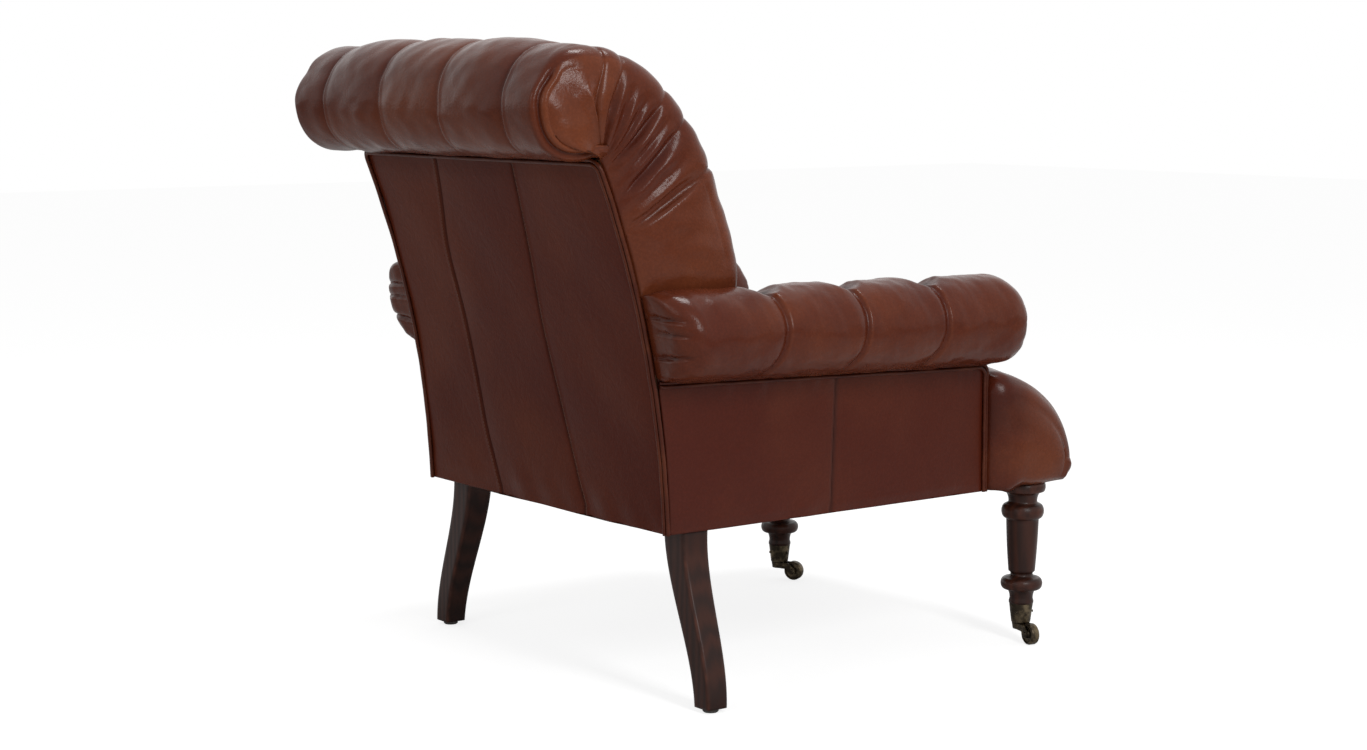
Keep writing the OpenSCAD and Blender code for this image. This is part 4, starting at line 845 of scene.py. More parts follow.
def roll_surface(sign, cover):
    """An arm roll as rings along it: an ellipse that rests on the seam, with a dome at the front, a rear end cut
    along the back and drawn in by short tucks, and pleats that run from each button over the outside."""
    dome, tail, face = 0.050, 0.034, 0.50
    end = sweep_y(ARM_END_Z, COVER_DEPTH)
    head = np.linspace(0.04, np.pi / 2, 24, endpoint=False)
    foot = np.linspace(np.pi / 2, 0, 26)[1:]
    inner = np.linspace(face, 0.03, 12)[1:]
    tip = ROLL_FRONT + 0.002
    y = np.concatenate([tip + dome * (1 - np.cos(head)), np.linspace(tip + dome, end - tail, 250),
                        end - tail + tail * np.cos(foot), np.full(11, end)])[:, None]
    width = np.concatenate([np.sin(head) ** 0.62, np.ones(250), face + (1 - face) * np.sin(foot), inner])[:, None]
    a = circle(120)
    ca, sa = np.cos(a), np.sin(a)
    low = seam_z(np.maximum(y, FRONT_Y)) + 0.0004
    at_rear = y > end - tail
    rear_tall = np.where(sa < 0, 0.96 + 0.04 * width, 0.86 + 0.14 * width)
    front_tall = np.where(sa < 0, width**0.4, width**1.2)
    tall = (roll_top(y) - low) / 2 * np.where(at_rear, rear_tall, front_tall)
    centre = np.where(at_rear, mix(PANEL_X + 0.002, ROLL_X, width), ROLL_X)
    blunt = np.where(at_rear | (ca > 0), width, width**0.35)
    x = centre + ROLL_HALF * blunt * ca
    z = (roll_top(y) + low) / 2 + tall * sa
    lean = smooth((y - ARM_PLEATS[2]) / (end - ARM_PLEATS[2]))
    points = np.stack([x, y + lean * (sweep_y(z) - sweep_y(ARM_END_Z)), z], -1)

    # The directions of the offsets: out from the middle, and forward or back at the ends
    rounding = np.where(at_rear, np.clip((width - face) / (1 - face), 0, 1), 1.0)
    n = np.stack([ca * rounding, 0 * x, sa * rounding], -1)
    n[..., 1] = -(np.clip(1 - (y - ROLL_FRONT) / dome, 0, 1) ** 1.5) * 1.2 + np.sqrt(1 - rounding**2)
    n /= np.linalg.norm(n, axis=-1, keepdims=True)

    # The pleats, bent back below the roll's middle, with the leather's lip in front of each
    turn = np.where(a > 1.5 * np.pi, a - 2 * np.pi, a)
    along = y - (0.016 * smooth((-0.1 - turn) / 1.4) - 0.006 * bump(turn - 0.35, 0.9))
    place = np.interp(along, [ROLL_FRONT - 0.02, *ARM_PLEATS, end + 0.02], [0.42, 1, 2, 3, 3.55])
    strong = np.interp(turn, np.radians([-90, -60, 0, 45, 90, 124, 160, 200, 270]),
                       [0.15, 0.6, 0.8, 0.9, 1.0, 1.1, 0.7, 0.15, 0])
    strong = strong * smooth((end - 0.02 - y) / 0.05)
    depth = 0.16 * cover.arm_pleat * strong * fold(place, 0.6)
    lip = 0 * depth
    for pleat in ARM_PLEATS:
        d = along - pleat
        lip = lip + 0.7 * bump(d + 0.0042, 0.0022) * strong
        r = np.hypot((y - pleat) / 0.040, (turn - np.radians(106)) * ROLL_HALF / 0.054)
        dimple = 0.0150 * np.clip(1 - r**2, 0, 1) ** 1.6
        depth = depth + 0.50 * cover.arm_pleat * strong * crease(d, 0.0085, 0.0022) + dimple
    depth = depth - 0.0008 * lip

    # The tucks at the rear, and the gathers round the front
    reach = smooth((ca + 0.1) / 0.3) * np.interp(width, [0.05, 0.25, 0.72, 0.97], [0.3, 1, 1, 0]) * at_rear
    for tuck_z, tuck_depth, fall in ((0.5365, 0.0050, 0.003), (0.518, 0.0036, 0.001), (0.489, 0.0055, -0.006)):
        depth = depth + tuck_depth * reach * crease(z - tuck_z - fall * (1 - width), 0.0032, 0.0016)
    front = smooth((ROLL_FRONT + 0.045 - y) / 0.045)
    depth = depth + 0.0009 * front * fold(turn / 2 / np.pi * 13, 0.7)

    crown = smooth(1 - depth / 0.004)
    uneven = 0.0012 * waves(points, 0.07, 21 + int(sign)) + 0.0005 * waves(points, 0.022, 31)
    rest = smooth((turn + np.radians(75)) / 0.3) * smooth(width / 0.4)
    points = points + n * ((0.0024 * crown + uneven) * rest - depth)[..., None]
    # Relief for the leather: warmer on the crowns, where pull-up leather lightens; painted highlight along each
    # pleat's lip; painted shade where the pleats, dimples and tucks are deep
    relief = 0.18 * crown + 0.5 * lip - np.clip((depth - 0.0030) / 0.008, 0, 1)
    points[..., 0] *= sign
    return points, np.clip(relief, -1, 1)


class ARMCHAIR_OT_arm_rolls(bpy.types.Operator):
    """Builds the two tufted arm rolls."""

    bl_idname = "armchair.arm_rolls"
    bl_label = "Arm rolls"

    def execute(self, context):
        for side, sign in SIDES.items():
            points, relief = roll_surface(sign, context.scene.armchair_upholstery)
            piece = add_tube(f"arm_roll_{side}_padded", points, "leather", relief=relief)
            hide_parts(f"arm_roll_{side}")
        return {"FINISHED"}


# Seat

def seat_profile(x, v):
    """The seat in side view at x, for v from 0 at its rear to 3 at the hem: 0 to 1 over the crowned top, 1 to 2
    round the nose in a quarter ellipse, and 2 to 3 tucked in to the hem."""
    edge = (x / SEAT_HALF) ** 2
    rear = LUMBAR_Y - 0.0003
    y_top = mix(rear, NOSE_Y + NOSE_BOW * edge + NOSE_RUN, np.clip(v, 0, 1))
    z_top = SEAT_TOP - 0.022 * edge - 0.0073 * ((y_top - rear) / (NOSE_Y - rear)) ** 2
    a = 0.5 * np.pi * np.clip(v - 1, 0, 1)
    under = np.clip(v - 2, 0, 1)
    y = y_top - NOSE_RUN * np.sin(a) + under**2 * 0.018
    return y, mix(z_top - NOSE_FALL * (1 - np.cos(a)), HEM_Z + 0.0003, under)


def seat_surface():
    """The seat as rings across it: narrow between the arms, wide in front of them, each over a rounded edge and
    down its side. Returns the points and their relief."""
    edge_v = np.linspace(0, 2, 4001)
    edge_y, _ = seat_profile(SEAT_HALF, edge_v)
    ear = float(np.interp(-(FRONT_Y - 0.0006), -edge_y, edge_v))
    t = np.linspace(0, 1, 18)
    v = np.concatenate([np.linspace(0, ear - 0.002, 70), [ear], ear + 0.0005 + 0.16 * t**2,
                        np.linspace(ear + 0.164, 2, 64)[1:], np.linspace(2, 3, 14)[1:]])[:, None]
    half = np.concatenate([np.full(70, INSIDE_X), [INSIDE_X + 0.02], SEAT_HALF - 0.021 * (1 - t) ** 2.2,
                           np.full(76, SEAT_HALF)])[:, None]
    wide = half > INSIDE_X + 0.001
    r = np.where(wide, 0.026, 0.010)
    x_flat = np.linspace(-1, 1, 128) * (half - r)
    middle = np.stack([x_flat, *seat_profile(x_flat, v)], -1)

    # The rounded edge, drawn inward square to the profile, and the side below it
    corner = np.linspace(0, np.pi / 2, 9)[1:]
    run = np.linspace(0, 1, 20)[1:]
    x_rim = half - r + r * np.sin(corner)
    y, z = seat_profile(x_rim, v)
    ya, za = seat_profile(x_rim, v - 0.002)
    yb, zb = seat_profile(x_rim, v + 0.002)
    length = np.maximum(np.hypot(yb - ya, zb - za), 1e-9)
    shy = r * (1 - np.cos(corner)) * (1 - smooth((v - 2.0) / 0.9))
    rim = np.stack([x_rim, y - (zb - za) / length * shy, z + (yb - ya) / length * shy], -1)
    start = rim[:, -1:]
    ahead = FRONT_Y - start[..., 1]
    hem = HEM_Z + 0.0003 - 0.010 * smooth((0.055 - ahead) / 0.03)
    foot_z = np.minimum(np.where(wide, hem, SEAT_LOW_SIDE), start[..., 2])
    foot = np.stack([half - 0.001, np.where(wide, FRONT_Y - ahead * 0.95, start[..., 1]), foot_z], -1)
    side = mix(start, foot, run[None, :, None])
    swell = np.where(wide, 0.0070, 0.0) * np.sin(np.pi * run) ** 0.7
    side[..., 0] += swell * smooth((start[..., 2] - HEM_Z) / 0.1) * smooth(ahead / 0.05)
    points = both_halves(middle, np.concatenate([rim, side], 1))

    n = outward_normals(points, (0, -0.1, 0.36))
    px, py = np.abs(points[..., 0]), points[..., 1]
    uneven = 0.0022 * waves(points, 0.16, 41) + 0.0008 * waves(points, 0.05, 42)
    free = mix(smooth((INSIDE_X + 0.004 - px) / 0.02), 1.0, smooth((FRONT_Y - 0.001 - py) / 0.025))
    lift = (uneven + 0.0045) * smooth((3.0 - v) / 0.5) * smooth(v / 0.06) * free
    seam = bump(px - (SEAT_HALF - 0.010), 0.0022) * smooth((v - ear) / 0.1) * smooth((3.0 - v) / 0.1)
    # Relief for the leather: warmer on the rises, where pull-up leather lightens; painted shade in the dips and in
    # the groove beside the edge seam
    return points + n * (lift - 0.0016 * seam)[..., None], np.clip(uneven / 0.006 - 0.6 * seam, -1, 1)


class ARMCHAIR_OT_seat(bpy.types.Operator):
    """Builds the tight seat with its rolled nose."""

    bl_idname = "armchair.seat"
    bl_label = "Seat"

    def execute(self, context):
        points, relief = seat_surface()
        piece = add_tube("seat_cushion", points, "leather", relief=relief)
        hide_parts("seat_pad")
        return {"FINISHED"}


# Inside arms

def inside_surface(sign):
    """A pad on the inside of an arm as rings along it: a rounded upright section whose face is crowned, drawn in
    under each arm button."""
    low, centre, thick, power = 0.351, 0.2528, 0.0092, 0.35
    y = np.linspace(FRONT_Y + 0.0036, LUMBAR_Y - 0.0006, 120)[:, None]
    ca, sa = np.cos(circle(56)), np.sin(circle(56))
    ends = np.sqrt(np.clip(1 - (np.abs(y - y.mean()) / (np.ptp(y) / 2)) ** 8, 0.0, 1))
    high = 0.503 - 0.014 * (1 - smooth((y - FRONT_Y) / 0.055))
    cx = np.sign(ca) * np.abs(ca) ** power
    cz = np.sign(sa) * np.abs(sa) ** power
    near = np.min(np.abs(y[..., None] - ARM_PLEATS), -1)
    draw = 0.0045 * np.exp(-near / 0.014) * smooth((cz + 0.8) / 1.8) * (cx < 0)
    face = 0.0035 * np.cos(np.pi / 2 * np.clip(cz, -1, 1)) * (cx < 0)
    z = (low + high) / 2 + (high - low) / 2 * cz
    x = centre + thick * cx * (0.55 + 0.45 * ends) - (face * ends - draw) + 0.015 * smooth((z - high + 0.045) / 0.045)
    # Relief: painted shade where the pad is drawn in under the buttons
    return np.stack(np.broadcast_arrays(sign * x, y, z), -1), np.clip(-draw / 0.004, -1, 0.3)


class ARMCHAIR_OT_inside_arms(bpy.types.Operator):
    """Builds the pads on the inside of the arms."""

    bl_idname = "armchair.inside_arms"
    bl_label = "Inside arms"

    def execute(self, context):
        for side, sign in SIDES.items():
            points, relief = inside_surface(sign)
            piece = add_tube(f"inside_arm_{side}_padded", points, "leather", relief=relief)
            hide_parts(f"inside_arm_{side}")
        return {"FINISHED"}


# Flat covers

def arch(t):
    """An arch of height 1 over t from 0 to 1, and 0 beyond: 4t(1 - t)."""
    return np.clip(4 * t * (1 - t), 0, 1)


def rounded(edge, past, radius):
    """An edge drawn in round a quarter circle, at a place that lies a distance past the circle's start."""
    return edge - radius + np.sqrt(radius**2 - np.clip(past, 0, radius) ** 2 + 1e-10)


def back_face(x, z):
    """Distance of the outside back's face behind the plain sweep: three shallow pillows between the seams and
    the edges, a groove with a raised lip at each seam, and a slightly wavy hem."""
    x, z = np.broadcast_arrays(x, z)
    lines = [seam_x(seam, z) for seam in BACK_SEAMS]
    puff = 0
    for left, right in zip([-PANEL_X, *lines], [*lines, PANEL_X]):
        puff = np.maximum(puff, arch((x - left) / (right - left)) ** 0.42)
    rise = smooth((BACK_TOP - z) / 0.03) * smooth((z - BODY_Z) / 0.03)
    out = 0.0034 * puff * (0.35 + 0.65 * rise)
    for line in lines:
        out = out - 0.0018 * bump(x - line, 0.0016) + 0.0008 * bump(x - line - 0.0052 * np.sign(line), 0.0035)
    points = np.stack([x, 0 * x, z], -1)
    near_hem = smooth((BODY_Z + 0.07 - z) / 0.06)
    return out + 0.0010 * waves(points, 0.15, 51) + 0.0014 * waves(points, 0.06, 52) * near_hem


def add_sheet(name, face, rear, look, relief=None):
    """A sheet through rings of its face and of the two edges of its rear, with the relief of its face."""
    if relief is not None:
        relief = np.concatenate([relief, np.zeros((len(face), 2))], 1)
    return add_tube(name, np.concatenate([face, rear], 1), look, relief=relief)


class ARMCHAIR_OT_covers(bpy.types.Operator):
    """Builds the outside back, the side panels and the arm facings."""

    bl_idname = "armchair.covers"
    bl_label = "Outside covers"

    def execute(self, context):
        z = np.linspace(BODY_Z, BACK_TOP, 150)[:, None]
        x = np.linspace(-1, 1, 240)[None, :] * rounded(PANEL_X, z - BACK_TOP + 0.014, 0.014)
        hem = 0.0018 * waves(np.stack([x, 0 * x, 0 * x], -1), 0.11, 53)
        height = z + hem * smooth((BODY_Z + 0.04 - z) / 0.04)
        face = np.stack([x, sweep_y(z) + back_face(x, z), height], -1)
        rear = np.stack(np.broadcast_arrays(x[:, [-1, 0]], sweep_y(z, SHEET), z), -1)
        # Painted shade along the grooves of the seams
        dip = sum(bump(x - seam_x(seam, z), 0.0028) for seam in BACK_SEAMS)
        piece = add_sheet("outside_back_cover", face, rear, "leather_flat", -0.75 * dip)
        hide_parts("outside_back")

        for side, sign in SIDES.items():
            self.side_panel(side, sign)
            self.facing(side, sign)
        return {"FINISHED"}

    def side_panel(self, side, sign):
        """A side panel: a shallow pillow from the front edge to the sweep, gathered a little under the roll's front,
        with a seam down its rear half."""
        t = np.linspace(0, 1, 190)[None, :]
        g = np.linspace(0, 1, 90)[:, None]
        y = mix(FRONT_Y, sweep_y(BODY_Z + g * (SEAM_FRONT + 0.004 - BODY_Z), COVER_DEPTH), t)
        z = BODY_Z + g * (seam_z(y) + 0.004 - BODY_Z)
        seam_y = mix(*SIDE_SEAM_Y, g)
        d = y - seam_y
        ahead = (y - FRONT_Y) / (seam_y - FRONT_Y)
        puff = np.where(ahead < 1, arch(ahead), arch(d / (sweep_y(z) - seam_y))) ** 0.45
        out = 0.0036 * puff * (0.3 + 0.7 * smooth((1 - g) / 0.06) * smooth(g / 0.07))
        out = out - 0.0016 * bump(d, 0.0016) + 0.0007 * bump(d + 0.005, 0.0035)
        gather = smooth((g - 0.55) / 0.4) * smooth((FRONT_Y + 0.12 - y) / 0.10)
        out = out + 0.0009 * gather * waves(np.stack([0 * y, 3 * y, 0.4 * z], -1), 0.07, 63)
        near_top = smooth((g - 0.80) / 0.15) * smooth((1 - g) / 0.05)
        for pull_y, pull in ((0.165, 0.0016), (0.108, 0.0020), (0.045, 0.0012), (0.012, 0.0018), (-0.014, 0.0016)):
            out = out + pull * bump(y - pull_y - 0.03 * (1 - g), 0.008) * near_top
        points = np.stack([0 * y, y, z], -1)
        out = out + 0.0011 * waves(points, 0.14, 61) + 0.0011 * waves(points, 0.05, 62) * smooth((0.14 - g) / 0.1)
        face = np.stack([sign * (PANEL_X + out), y, z], -1)
        rear = face[:, [-1, 0]]
        rear[..., 0] = sign * (PANEL_X - SHEET)
        # Painted shade along the groove of the seam
        piece = add_sheet(f"side_cover_{side}", face, rear, "leather_side", -0.75 * bump(d, 0.0028))
        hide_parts(f"side_panel_{side}")

    def facing(self, side, sign):
        """The arm's front: a shallow pillow that fits between the inside arm and the side panel."""
        g = np.linspace(0, 1, 40)[:, None]
        t = np.linspace(0, 1, 24)[None, :]
        x = mix(INSIDE_X, PANEL_X - 0.0034, t)
        z = mix(0.3255, rounded(SEAM_FRONT + 0.046, INSIDE_X + 0.012 - x, 0.012), g)
        puff = (arch(t) * arch(g)) ** 0.4
        face = np.stack(np.broadcast_arrays(sign * x, FRONT_Y - 0.0015 * puff, z), -1)
        rear = face[:, [-1, 0]]
        rear[..., 1] = FRONT_Y + SHEET
        piece = add_sheet(f"arm_facing_{side}_cover", face, rear, "leather")
        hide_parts(f"arm_facing_{side}")


# Welts, buttons and stitches

def behind_back(x, z, lift):
    """Points a distance lift behind the outside back's face, square to it, at x and z."""
    angle = np.arcsin((z - ARC_Z) / SWEEP_R)
    return np.stack(np.broadcast_arrays(x, sweep_y(z) + lift * np.cos(angle), z - lift * np.sin(angle)), -1)


class ARMCHAIR_OT_welts(bpy.types.Operator):
    """Builds the double welts round the outside back and the welts of the side panels."""

    bl_idname = "armchair.welts"
    bl_label = "Welts"

    def execute(self, context):
        r = context.scene.armchair_upholstery.cord
        # How far each of the two cords lies in from the edge
        insets = (0.0, 2 * r - 0.0002)
        parts = [tube(cord_rings(self.back_path(inset), (0, 1, 0.3), r)) for inset in insets]
        piece = add_joined("back_double_welt", parts, "leather_welt", relief=0.15)
        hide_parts("back_welt")
        for side, sign in SIDES.items():
            parts = [tube(cord_rings(self.side_path(sign, inset), (1, 0, 0), r)) for inset in insets]
            piece = add_joined(f"side_double_welt_{side}", parts, "leather_welt", relief=0.1)
            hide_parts(f"side_welt_{side}")
        return {"FINISHED"}

    def back_path(self, inset):
        """A cord's middle: up the outside back's edge, round the corner, along its top and down again."""
        x = PANEL_X + 0.0021 - inset
        top = BACK_TOP + 0.0033 - inset * 0.9
        turn = 0.017 - inset
        lift = 0.0034 if inset else 0.0012
        a = np.radians(np.linspace(10, 80, 8))
        half = np.vstack([behind_back(-x, np.linspace(BODY_Z, top - turn, 90), lift),
                          behind_back(-x + turn * (1 - np.cos(a)), top - turn * (1 - np.sin(a)), lift)])
        level = behind_back(np.linspace(-x + turn, x - turn, 90), top, lift)
        path = np.vstack([half, level, half[::-1] * np.array([-1, 1, 1])])
        return path + 0.0004 * waves(path, 0.05, 71)[:, None] * np.array([0.4, 1, 0.4])

    def side_path(self, sign, inset):
        """A cord's middle: up the side panel's front edge, round the corner and back along the roll's seam."""
        turn = 0.012
        low = 0.0032 + inset
        y0 = FRONT_Y + 0.003 + inset
        corner_z = seam_z(y0) - low - turn
        a = np.radians(np.linspace(12, 78, 7))
        along = np.linspace(y0 + turn, sweep_y(0.449, 0.006), 100)
        y = np.concatenate([np.full(40, y0), y0 + turn * (1 - np.cos(a)), along])
        z = np.concatenate([np.linspace(BODY_Z, corner_z, 40), corner_z + turn * np.sin(a), seam_z(along) - low])
        path = np.stack([np.full(len(y), sign * (PANEL_X + (0.0038 if inset else 0.0030))), y, z], 1)
        return path + 0.0003 * waves(path, 0.05, 72)[:, None]


def revolved(profile, sides, centre=(0.0, 0.0)):
    """Rings of a solid of revolution: a profile of radius and height turned about an upright axis."""
    a = circle(sides)
    radius, height = profile[:, :1], profile[:, 1:]
    return np.stack([radius * np.cos(a) + centre[0], radius * np.sin(a) + centre[1], height + 0 * a], -1)


def button_rings(radius):
    """A covered button along +Z: a low dome with a rolled rim."""
    profile = np.array([(0.0005, -0.004), (0.004, -0.0035), (0.0085, -0.002), (0.0102, 0.0), (0.0101, 0.0016),
                        (0.0092, 0.0034), (0.0072, 0.0050), (0.0045, 0.0060), (0.0020, 0.0064), (0.0004, 0.0065)])
    return revolved(profile * (radius / 0.0102), 22)


def seated(rings, surface, start, normal):
    """A button on a surface. Its axis runs from a start along a unit normal. It is turned from +Z to the normal and
    set where the surface's grid point nearest to the axis lies along it."""
    off = surface.reshape(-1, 3) - start
    along = off @ normal
    away = np.linalg.norm(off - along[:, None] * normal, axis=1)
    away[np.abs(along) > 0.045] = np.inf
    side = np.cross((1, 0, 0), normal)
    side /= np.linalg.norm(side)
    return tube(rings @ np.stack([side, np.cross(normal, side), normal])
                + (start + normal * (along[np.argmin(away)] + 0.0025)))


class ARMCHAIR_OT_buttons(bpy.types.Operator):
    """Builds the covered buttons of the back and the arms."""

    bl_idname = "armchair.buttons"
    bl_label = "Buttons"

    def execute(self, context):
        cover = context.scene.armchair_upholstery
        rings = button_rings(cover.button)
        cushion, _ = back_surface(cover)
        parts = []
        for row in range(BUTTON_ROWS):
            w = cover.first_row + row * cover.row
            (y0, y1, y2), (z0, z1, z2) = back_line(np.array([w - 0.001, w, w + 0.001]))
            normal = np.array([0, z2 - z0, y0 - y2])
            normal /= np.linalg.norm(normal)
            parts += [seated(rings, cushion, np.array([column * cover.pitch, y1, z1]), normal)
                      for column in button_columns(row)]
        piece = add_joined("back_covered_buttons", parts, "leather_button")
        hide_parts("back_buttons")
        parts = []
        for sign in SIDES.values():
            roll, _ = roll_surface(sign, cover)
            normal = np.array([sign * np.cos(BUTTON_AT), 0, np.sin(BUTTON_AT)])
            for y in ARM_PLEATS:
                mid, tall = (roll_top(y) + seam_z(y)) / 2, (roll_top(y) - seam_z(y)) / 2
                start = np.array([sign * (ROLL_X + ROLL_HALF * np.cos(BUTTON_AT)), y, mid + tall * np.sin(BUTTON_AT)])
                parts.append(seated(rings, roll, start, normal))
        piece = add_joined("arm_covered_buttons", parts, "leather_button")
        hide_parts("arm_buttons")
        return {"FINISHED"}


def stitches(path, outward, pitch):
    """Short round-ended threads along a path, each bedded in the leather at its ends."""
    run = np.concatenate([[0], np.cumsum(np.linalg.norm(np.diff(path, axis=0), axis=1))])
    rise = np.array([-0.0006, 0.0002, 0.0004, 0.0002, -0.0006])[:, None]
    parts = []
    for start in np.arange(0.004, run[-1] - pitch, pitch):
        at = start + np.array([0, 0.12, 0.35, 0.52, 0.64]) * pitch
        line = np.stack([np.interp(at, run, path[:, k]) for k in range(3)], 1) + outward * rise
        parts.append(tube(cord_rings(line, outward + 1e-3, 0.00042, 6)))
    return parts


class ARMCHAIR_OT_stitches(bpy.types.Operator):
    """Builds the rows of stitches beside the seams."""

    bl_idname = "armchair.stitches"
    bl_label = "Stitches"

    def execute(self, context):
        parts = []
        z = np.linspace(BODY_Z + 0.004, BACK_TOP - 0.004, 160)
        for seam in BACK_SEAMS:
            x = seam_x(seam, z) + 0.0048 * np.sign(seam[2, 0])
            path = np.stack([x, sweep_y(z) + back_face(x, z), z], 1)
            parts += stitches(path, np.array([0.0, 1.0, 0.0]), context.scene.armchair_upholstery.stitch)
        add_joined("back_stitches", parts, "thread")
        return {"FINISHED"}


# Legs

def bead(r0, r, low, high):
    """Half of a round bead between two heights, as radius and height."""
    a = np.linspace(0, np.pi, 13)
    return np.stack([r0 + (r - r0) * np.sin(a), mix(low, high, (1 - np.cos(a)) / 2)], 1)


def cove(r0, z0, r1, z1):
    """A hollow quarter curve between two points of a profile, as radius and height."""
    a = np.linspace(0, np.pi / 2, 11)
    return np.stack([mix(r0, r1, 1 - np.cos(a)), mix(z0, z1, np.sin(a))], 1)


def shaft(r0, z0, r1, z1, swell):
    """A taper between two points of a profile with a slight swell, as radius and height."""
    t = np.linspace(0, 1, 24)
    return np.stack([mix(r0, r1, t) + swell * np.sin(np.pi * t), np.linspace(z0, z1, 24)], 1)


class ARMCHAIR_OT_legs(bpy.types.Operator):
    """Builds the splayed rear legs and the turned front legs."""

    bl_idname = "armchair.legs"
    bl_label = "Legs"

    def execute(self, context):
        for side, sign in SIDES.items():
            self.rear(side, sign)
            self.front(side, sign)
        return {"FINISHED"}

    def rear(self, side, sign):
        """A rear leg: rings of a square with rubbed, rounded corners, swung outward towards the foot."""
        z = np.linspace(GLIDE_H, BODY_Z - 0.0003, 70)[:, None]
        share = z / BODY_Z
        centre = REAR_LEG_X + LEG_SPLAY * smooth(1 - share)
        wide, deep = mix(0.033, 0.046, share), mix(0.033, 0.043, share)
        edge_r = 0.0034
        ca, sa = np.cos(circle(48)), np.sin(circle(48))
        square = np.maximum(np.abs(ca), np.abs(sa))
        sx, sy = ca / square, sa / square
        # The square's outline, with what lies past each corner's centre drawn on to a circle about it
        corner_x = np.clip(np.abs(sx) * wide / 2, 0, wide / 2 - edge_r) * np.sign(sx)
        corner_y = np.clip(np.abs(sy) * deep / 2, 0, deep / 2 - edge_r) * np.sign(sy)
        dx, dy = sx * wide / 2 - corner_x, sy * deep / 2 - corner_y
        d = np.maximum(np.hypot(dx, dy), 1e-9)
        x = centre + corner_x + dx / d * edge_r
        y = FOOT_Y - 0.031 - deep / 2 + corner_y + dy / d * edge_r
        points = np.stack([sign * x, y, z + 0 * x], -1)
        wear = bump(np.abs(sx) - np.abs(sy), 0.13) * (0.6 + 0.4 * waves(points, 0.03, 81))
        piece = add_tube(f"rear_leg_{side}_shaped", points, "leg_wood", wear * 0.5)
        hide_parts(f"rear_leg_{side}")

    def front(self, side, sign):
        """A front leg, turned: from the top a collar, a cove, a bead, a taper, a neck, a ring and a bell."""
        profile = np.vstack([
            [(0.001, 0.040), (0.0148, 0.040), (0.0162, CUP_TOP), (0.0185, CUP_TOP + 0.0004),
             (0.0187, CUP_TOP + 0.0038)],
            cove(0.0175, 0.067, 0.0235, 0.081),
            bead(0.0255, 0.0315, 0.081, 0.099),
            [(0.0185, 0.101), (0.0166, 0.1036), (0.0172, 0.1068), (0.0198, 0.1088)],
            shaft(0.0200, 0.109, 0.0245, 0.188, 0.0006),
            bead(0.0255, 0.032, 0.190, 0.212),
            cove(0.0215, 0.215, 0.028, 0.230),
            bead(0.031, 0.034, 0.231, 0.246),
            [(0.0292, 0.2478), (0.029, 0.2532), (0.0286, 0.2537), (0.001, 0.2537)],
        ])
        points = revolved(profile, 64, (sign * (LEG_LOW[0] + LEG_HIGH[0]) / 2, (LEG_LOW[1] + LEG_HIGH[1]) / 2))
        wear = smooth((profile[:, :1] - 0.027) / 0.006) * 0.28 + 0 * points[..., 0]
        piece = add_tube(f"front_leg_{side}_turned", points, "leg_wood", wear)
        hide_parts(f"front_leg_{side}")


class ARMCHAIR_OT_frame_finish(bpy.types.Operator):
    """Gives each piece of the frame that shows the finish of its slot, which its plain material is named for."""

    bl_idname = "armchair.frame_finish"
    bl_label = "Frame finishes"

    def execute(self, context):
        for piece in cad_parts.values():
            made = finish(piece.data.materials[0].name.split(".")[0])
            for held in piece.material_slots:
                held.material = made
        return {"FINISHED"}


# Stage

# The camera's place, its direction in plan and how far it looks down
CAMERA_AT = (-2.874, 2.185, 0.858)
CAMERA_PLAN = (0.798, -0.603)
CAMERA_DOWN = np.radians(7.09)
# What the lamps face, and each lamp's setting, place, width and height
LIT_POINT = np.array([-0.02, 0.0, 0.42])
LAMPS = {
    "key_lamp": ("key", (-2.75, 0.3, 1.75), 0.55, 1.3),
    "fill_lamp": ("fill", (-0.6, 3.0, 1.7), 1.0, 1.0),
    "top_lamp": ("top", (-0.2, -0.5, 3.0), 0.7, 0.7),
}
FLOOR_HALF = 14.0


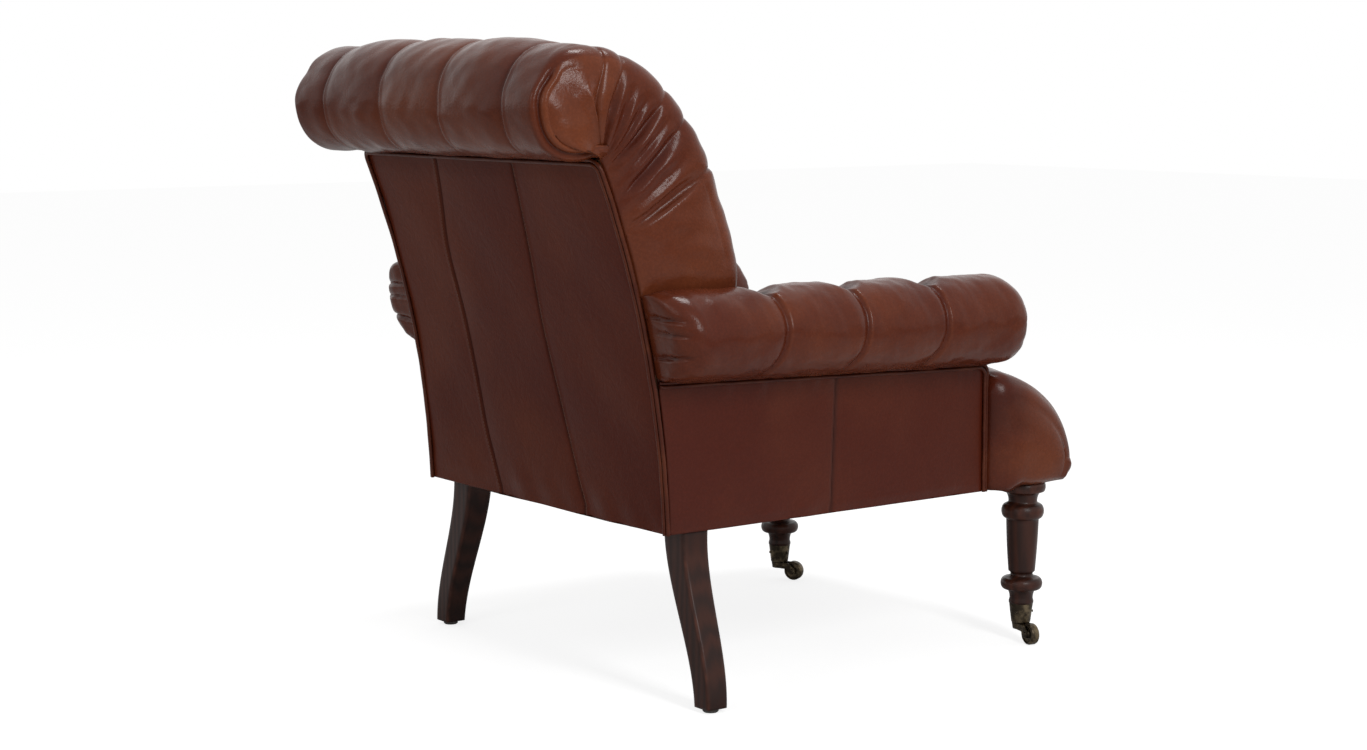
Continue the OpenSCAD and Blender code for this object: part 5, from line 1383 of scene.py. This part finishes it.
class ARMCHAIR_OT_stage(bpy.types.Operator):
    """Sets the floor, the world, the lamps and the camera at the photograph's angle."""

    bl_idname = "armchair.stage"
    bl_label = "Stage"

    def execute(self, context):
        scene = context.scene
        stage = scene.armchair_stage
        scene.view_settings.view_transform = "Standard"
        self.world(scene, stage.ambient)
        self.floor()
        for name, (power, place, wide, high) in LAMPS.items():
            lamp = bpy.data.lights.new(name, "AREA")
            lamp.shape = "RECTANGLE"
            lamp.size, lamp.size_y = wide, high
            lamp.energy = getattr(stage, power)
            self.aim(name, lamp, np.array(place), LIT_POINT - np.array(place))
        camera = bpy.data.cameras.new("camera")
        camera.lens = stage.lens
        camera.sensor_width = 36
        forward = (*[part * np.cos(CAMERA_DOWN) for part in CAMERA_PLAN], -np.sin(CAMERA_DOWN))
        scene.camera = self.aim("camera", camera, np.array(CAMERA_AT), np.array(forward))
        return {"FINISHED"}

    def aim(self, name, data, place, forward):
        """A lamp's or camera's object at a place, with its -Z along forward and its X level."""
        forward = forward / np.linalg.norm(forward)
        level = np.cross(forward, (0, 0, 1))
        level /= np.linalg.norm(level)
        matrix = np.eye(4)
        matrix[:3] = np.stack([level, np.cross(level, forward), -forward, place], 1)
        holder = bpy.data.objects.new(name, data)
        holder.matrix_world = Matrix(matrix.tolist())
        bpy.context.scene.collection.objects.link(holder)
        return holder

    def world(self, scene, ambient):
        """White for what the camera and reflections see, and an even light for the rest."""
        scene.world = bpy.data.worlds.new("studio")
        t = blank(scene.world)
        path = t.add("ShaderNodeLightPath").outputs
        mirrored = t.maths("MAXIMUM", path["Is Glossy Ray"], path["Is Transmission Ray"])
        seen = t.maths("MAXIMUM", path["Is Camera Ray"], mirrored)
        strength = t.plus(ambient, t.times(seen, 1 - ambient))
        back = t.add("ShaderNodeBackground", {"Color": (1, 1, 1, 1), "Strength": strength})
        t.add("ShaderNodeOutputWorld", {0: back.outputs[0]})

    def floor(self):
        """A wide floor that the camera sees as white less the chair's soft shadow, and that is plain pale
        otherwise."""
        mesh = bpy.data.meshes.new("floor")
        corners = [(x * FLOOR_HALF, y * FLOOR_HALF, 0) for x, y in ((-1, -1), (1, -1), (1, 1), (-1, 1))]
        mesh.from_pydata(corners, [], [(0, 1, 2, 3)])
        material = bpy.data.materials.new("floor_paper")
        t = blank(material)
        plain = t.add("ShaderNodeBsdfDiffuse", {"Color": (0.8, 0.8, 0.8, 1)}).outputs[0]
        soft = t.add("ShaderNodeBsdfDiffuse", {"Color": (0.42, 0.42, 0.42, 1)}).outputs[0]
        glow = t.add("ShaderNodeEmission", {"Color": (1, 1, 1, 1), "Strength": 0.80}).outputs[0]
        seen = t.add("ShaderNodeAddShader", {0: soft, 1: glow}).outputs[0]
        camera_ray = t.add("ShaderNodeLightPath").outputs["Is Camera Ray"]
        both = t.add("ShaderNodeMixShader", {0: camera_ray, 1: plain, 2: seen}).outputs[0]
        t.add("ShaderNodeOutputMaterial", {0: both})
        mesh.materials.append(material)
        floor = bpy.data.objects.new("floor", mesh)
        bpy.context.scene.collection.objects.link(floor)


# Panel and order of work

OPERATORS = (
    ARMCHAIR_OT_frame_finish,
    ARMCHAIR_OT_back_cushion,
    ARMCHAIR_OT_arm_rolls,
    ARMCHAIR_OT_seat,
    ARMCHAIR_OT_inside_arms,
    ARMCHAIR_OT_covers,
    ARMCHAIR_OT_welts,
    ARMCHAIR_OT_buttons,
    ARMCHAIR_OT_stitches,
    ARMCHAIR_OT_legs,
    ARMCHAIR_OT_stage,
)
SETTINGS = {
    "armchair_upholstery": ArmchairUpholstery,
    "armchair_leather": ArmchairLeather,
    "armchair_wood": ArmchairWood,
    "armchair_metal": ArmchairMetal,
    "armchair_stage": ArmchairStage,
}


class ARMCHAIR_PT_panel(bpy.types.Panel):
    """Lists the settings and the pieces of the armchair."""

    bl_idname = "ARMCHAIR_PT_panel"
    bl_label = "Armchair"
    bl_space_type = "VIEW_3D"
    bl_region_type = "UI"
    bl_category = "Armchair"

    def draw(self, context):
        for pointer, kind in SETTINGS.items():
            box = self.layout.box()
            box.label(text=kind.__doc__)
            for name in kind.__annotations__:
                box.prop(getattr(context.scene, pointer), name)
        for operator in OPERATORS:
            self.layout.operator(operator.bl_idname)


def register():
    for kind in (*SETTINGS.values(), *OPERATORS, ARMCHAIR_PT_panel):
        bpy.utils.register_class(kind)
    for pointer, kind in SETTINGS.items():
        setattr(bpy.types.Scene, pointer, bpy.props.PointerProperty(type=kind))


def unregister():
    for pointer in SETTINGS:
        delattr(bpy.types.Scene, pointer)
    for kind in (ARMCHAIR_PT_panel, *reversed(OPERATORS), *reversed(SETTINGS.values())):
        bpy.utils.unregister_class(kind)


def main():
    """Builds every piece in order."""
    register()
    bpy.ops.armchair.frame_finish()
    bpy.ops.armchair.back_cushion()
    bpy.ops.armchair.arm_rolls()
    bpy.ops.armchair.seat()
    bpy.ops.armchair.inside_arms()
    bpy.ops.armchair.covers()
    bpy.ops.armchair.welts()
    bpy.ops.armchair.buttons()
    bpy.ops.armchair.stitches()
    bpy.ops.armchair.legs()
    bpy.ops.armchair.stage()


if __name__ == "__main__":
    main()
